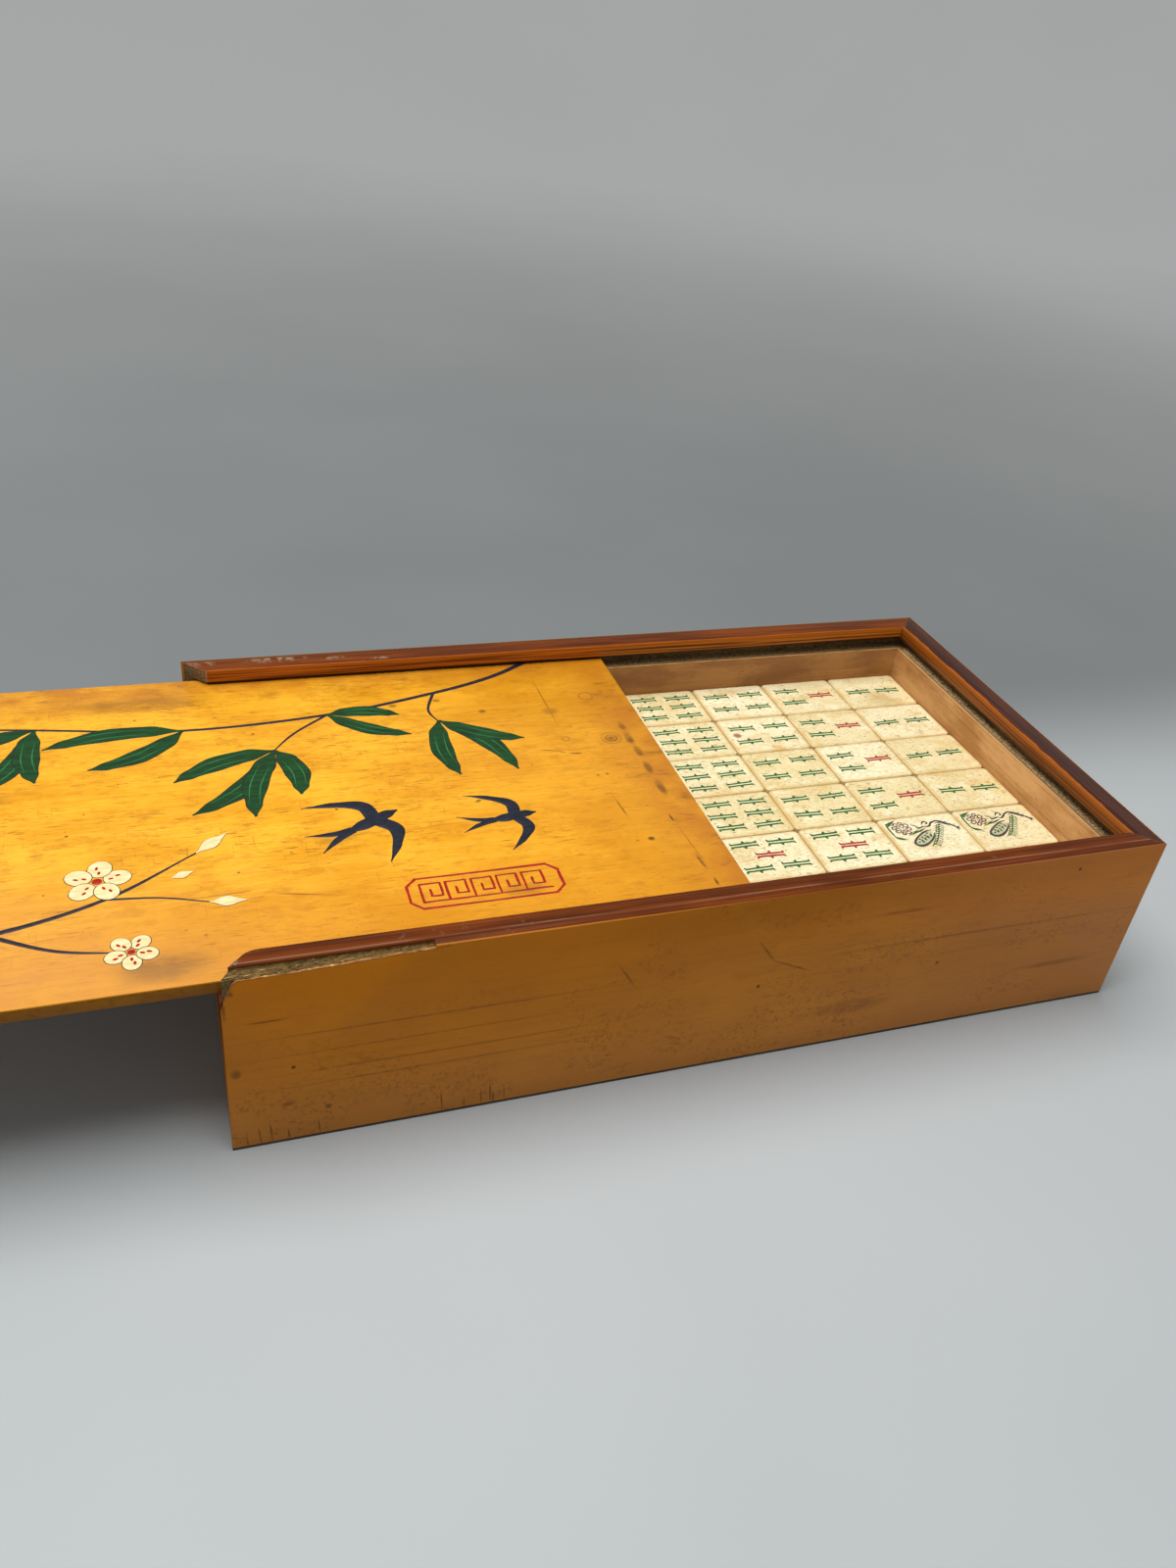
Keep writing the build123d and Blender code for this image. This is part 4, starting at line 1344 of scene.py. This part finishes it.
def dice():
    """Both dice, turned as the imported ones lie."""
    low, high = box_mm("dice")
    size = high.z - low.z
    well = (box_mm("left_liner")[1].x, box_mm("front_liner")[1].y)
    whole = Shape()
    for (x, y), degrees in DICE:
        shape = die(size, DIE_ROUNDING)
        turn = Matrix.Rotation(math.radians(degrees), 3, "Z")
        middle = Vector((well[0] + x, well[1] + y, low.z + size / 2))
        whole.add([turn @ p + middle for p in shape.points], shape.faces, shape.inks)
    materials = [bone(), ink("pip_black", "2a2622", "181614"), ink("pip_red", "b02a20", "8a1c16")]
    piece = new_piece("dice_pipped", whole, materials)
    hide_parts("dice")


# Stage, light and camera

FLOOR_RADIUS = 1300
FLOOR_BEND = 600
BACKDROP_TOP = 2200
# How far behind the case's middle the floor turns from its painted light, pale, to its painted shade, grey,
# and the backdrop's own glow round about
FLOOR_PALE_TO = 10
FLOOR_GREY_FROM = 130
GLOW_FROM = 300
GLOW_RISE = 0.24
GLOW_MOST = 0.285


def floor_painted_light():
    """Studio floor with a painted pool of light: pale in front, grey behind as painted shade, glowing more
    the further off it is.
    """
    paint = Paint("floor_painted_light", Roughness=0.6, Specular_IOR_Level=0.2)
    clouds = paint.grain((260, 260, 260), detail=3)
    uneven = paint.ease(clouds, 0.3, 0.7)
    # Painted light and shade: pale near the case, grey behind it.
    near = paint.mix(uneven, tone("a0a4a5"), tone("a5a9aa"))
    far = paint.mix(uneven, tone("6c6f6f"), tone("717474"))
    behind = paint.ease(paint.y, FLOOR_PALE_TO * MM, FLOOR_GREY_FROM * MM)
    paint.colour = paint.mix(behind, near, far)
    away = paint.distance((0, 0, 0))
    glow = paint.math("MULTIPLY", paint.math("SUBTRACT", away, GLOW_FROM * MM), GLOW_RISE)
    glow = paint.math("MINIMUM", paint.math("MAXIMUM", glow, 0.0), GLOW_MOST)
    paint.set("Emission Color", (1.0, 1.0, 1.0, 1.0))
    paint.set("Emission Strength", glow)
    paint.bump(paint.grain((3, 3, 3), detail=2, shift=2.0), 0.03, 0.3)
    return paint.finished()


def stage():
    """A wide round floor that sweeps up into a far backdrop all round."""
    count = 96
    sweep = [math.radians(9 * i) for i in range(1, 11)]
    rings = [(400.0, 0.0), (FLOOR_RADIUS, 0.0)]
    rings += [(FLOOR_RADIUS + FLOOR_BEND * math.sin(a), FLOOR_BEND * (1 - math.cos(a))) for a in sweep]
    rings.append((FLOOR_RADIUS + FLOOR_BEND, BACKDROP_TOP))
    turns = [2 * math.pi * i / count for i in range(count)]
    points = [(0, 0, 0)]
    points += [(radius * math.cos(a), radius * math.sin(a), z) for radius, z in rings for a in turns]
    faces = [(0, i + 1, (i + 1) % count + 1) for i in range(count)]
    faces += strip(len(rings), count, closed=True, turned_over=True, first=1)
    mesh = bpy.data.meshes.new("floor")
    mesh.from_pydata([Vector(p) * MM for p in points], [], faces)
    mesh.shade_smooth()
    mesh.materials.append(floor_painted_light())
    floor = bpy.data.objects.new("floor", mesh)
    bpy.context.scene.collection.objects.link(floor)


def softbox(name, place, target, size, power):
    """A square area light at a place, turned to a target, both in metres."""
    data = bpy.data.lights.new(name, "AREA")
    data.energy = power
    data.size = size
    lamp = bpy.data.objects.new(name, data)
    lamp.location = place
    lamp.rotation_mode = "QUATERNION"
    lamp.rotation_quaternion = (Vector(target) - Vector(place)).to_track_quat("-Z", "Y")
    bpy.context.scene.collection.objects.link(lamp)


def lights():
    """Soft light from overhead and a little in front, over an even grey surrounding."""
    world = bpy.data.worlds.new("surrounding")
    world.use_nodes = True
    background = world.node_tree.nodes["Background"]
    background.inputs["Color"].default_value = (1.0, 0.99, 0.98, 1.0)
    background.inputs["Strength"].default_value = 0.24
    bpy.context.scene.world = world
    softbox("overhead", (-0.20, 0.04, 1.0), (-0.03, 0.0, 0.0), 0.8, 15.3)


# The photograph's viewpoint in metres, the view's three axes, and the lens for a 36 mm frame
VIEWPOINT = (-0.1484, -0.3080, 0.2765)
VIEW_RIGHT = (0.9443, -0.3125, 0.1030)
VIEW_UP = (0.0950, 0.5587, 0.8239)
VIEW_BACK = (-0.3150, -0.7683, 0.5573)
LENS = 28.06


def camera():
    """The camera at the photograph's viewpoint."""
    data = bpy.data.cameras.new("camera")
    data.lens = LENS
    data.sensor_width = 36
    data.clip_start = 0.01
    view = bpy.data.objects.new("camera", data)
    turn = Matrix((VIEW_RIGHT, VIEW_UP, VIEW_BACK)).transposed().to_4x4()
    view.matrix_world = Matrix.Translation(VIEWPOINT) @ turn
    bpy.context.scene.collection.objects.link(view)
    bpy.context.scene.camera = view


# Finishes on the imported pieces

def softened(node, width):
    """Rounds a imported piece's sharp edges by a width in millimetres."""
    piece = nodes[node]
    weld = piece.modifiers.new("weld", "WELD")
    weld.merge_threshold = 0.00001
    bevel = piece.modifiers.new("soft_edges", "BEVEL")
    bevel.width = width * MM
    bevel.segments = 2
    bevel.limit_method = "ANGLE"
    bevel.angle_limit = math.radians(35)
    bevel.harden_normals = True
    for polygon in piece.data.polygons:
        polygon.use_smooth = True


def finish_node(node, material, width=0.0):
    """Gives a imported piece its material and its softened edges."""
    piece = nodes[node]
    piece.data.materials.clear()
    piece.data.materials.append(material)
    if width:
        softened(node, width)


def dress_case():
    """Materials of the case and lid."""
    browns = {
        "front": veneer_brown("front_brown", "985606", "b66e0e", "c27a1a", marks=FRONT_MARKS),
        "back": veneer_brown("back_brown", "8a4c04", "a4620e", "b06e1c"),
        "right": veneer_brown("side_brown", "5e2a0c", "804312", "96551b", along="y"),
        "left": veneer_brown("left_brown", "3c1608", "5a2a10", "6e3614", along="y"),
    }
    for side, brown in browns.items():
        finish_node(side + "_veneer", brown, 0.08)
    finish_node("lid_end_veneer", browns["right"], 0.2)

    inner_y = half_width - rim_width
    inner_x = half_length - rim_width
    # Where the painted highlight runs along the front rim.
    painted_highlight_line = -half_width + rim_width * 0.45
    rims = {
        "front_rim": rim_red(
            "front_rim_red", "4c220a", "642e0a", "84420e", gloss=0.06, painted_highlight_line=painted_highlight_line),
        "back_rim": rim_red(
            "back_rim_red", "4e240c", "6a320c", "ae641e", worn_edge=("y", inner_y, 0.35), gloss=0.08,
            scuffs=RIM_SCUFFS, foot_painted_shade=True),
        "right_rim": rim_red("right_rim_red", "341a12", "442418", "8a4c18", "y", ("x", inner_x, 0.9)),
        "lid_end_rim": rim_red("end_rim_red", "5a240c", "6e3014", "8a4712", "y"),
    }
    for node, red in rims.items():
        finish_node(node, red, 0.3)

    core = board_core("board_core", "5e4828", "7a6238", "a08a60")
    # Painted light: a lighter copy of the board core for the right wall, whose groove lies in shade.
    right_core_painted_light = board_core("right_core_painted_light", "7c6038", "9c7e4a", "b89a6a")
    for node in ("front_wall", "back_wall", "left_wall", "lid_end_rail"):
        finish_node(node, core, 0.12)
    finish_node("right_wall", right_core_painted_light, 0.12)
    tans = {
        # The back lining is a darker copy with painted shade from the back rim over it; the right lining is a
        # paler copy with painted light, with its shoulder paler still.
        "front": liner_tan("front_tan", "x", "9a6430", "b98246"),
        "back": liner_tan("back_tan_painted_shade", "x", "784c20", "91622e"),
        "left": liner_tan("left_tan", "y", "9a6430", "b98246"),
        "right": liner_tan("right_tan_painted_light", "y", "a4713c", "c4925a", "dcbc8c"),
    }
    for side, tan in tans.items():
        finish_node(side + "_liner", tan, 0.35)
    finish_node("base_panel", base_dark(), 0.3)

    finish_node("lid_veneer", lid_gold(), 0.3)
    finish_node("lid_panel", veneer_brown("lid_board", "6a3e08", "86530d", "9a6412"), 0.3)


def dress_tiles():
    """Materials and carved faces of the tiles, and the dice."""
    inks = [
        bone(),
        ink("ink_green", "2a5c1c", "1a4014"),
        ink("ink_red", "9c2a20", "761c14"),
        ink("ink_blue", "403c44", "26242a"),
        ink("ink_wash", "ccd0a2", "b4bc8a", 0.08),
        ink("ink_pink", "dfa888", "cc8c6e", 0.08),
        ink("ink_violet", "6a3440", "4c2230"),
        ink("ink_haze", "c2bc92", "a0a078", 0.1),
    ]
    loose_tiles(inks)
    stored_tiles(inks)
    backs = bamboo_back()
    for node in sorted(nodes):
        if node.endswith("_back") or node == "stored_tile_backs":
            finish_node(node, backs, 0.25)
    dice()


stage()
lights()
camera()
dress_case()
dress_tiles()
lid_painting()
chip_fibres(board_core("split_core", "4a3816", "664e28", "a4864c"))
splinters(torn_fibre())
torn_edge(torn_fibre())
bpy.context.scene.view_settings.view_transform = "Standard"
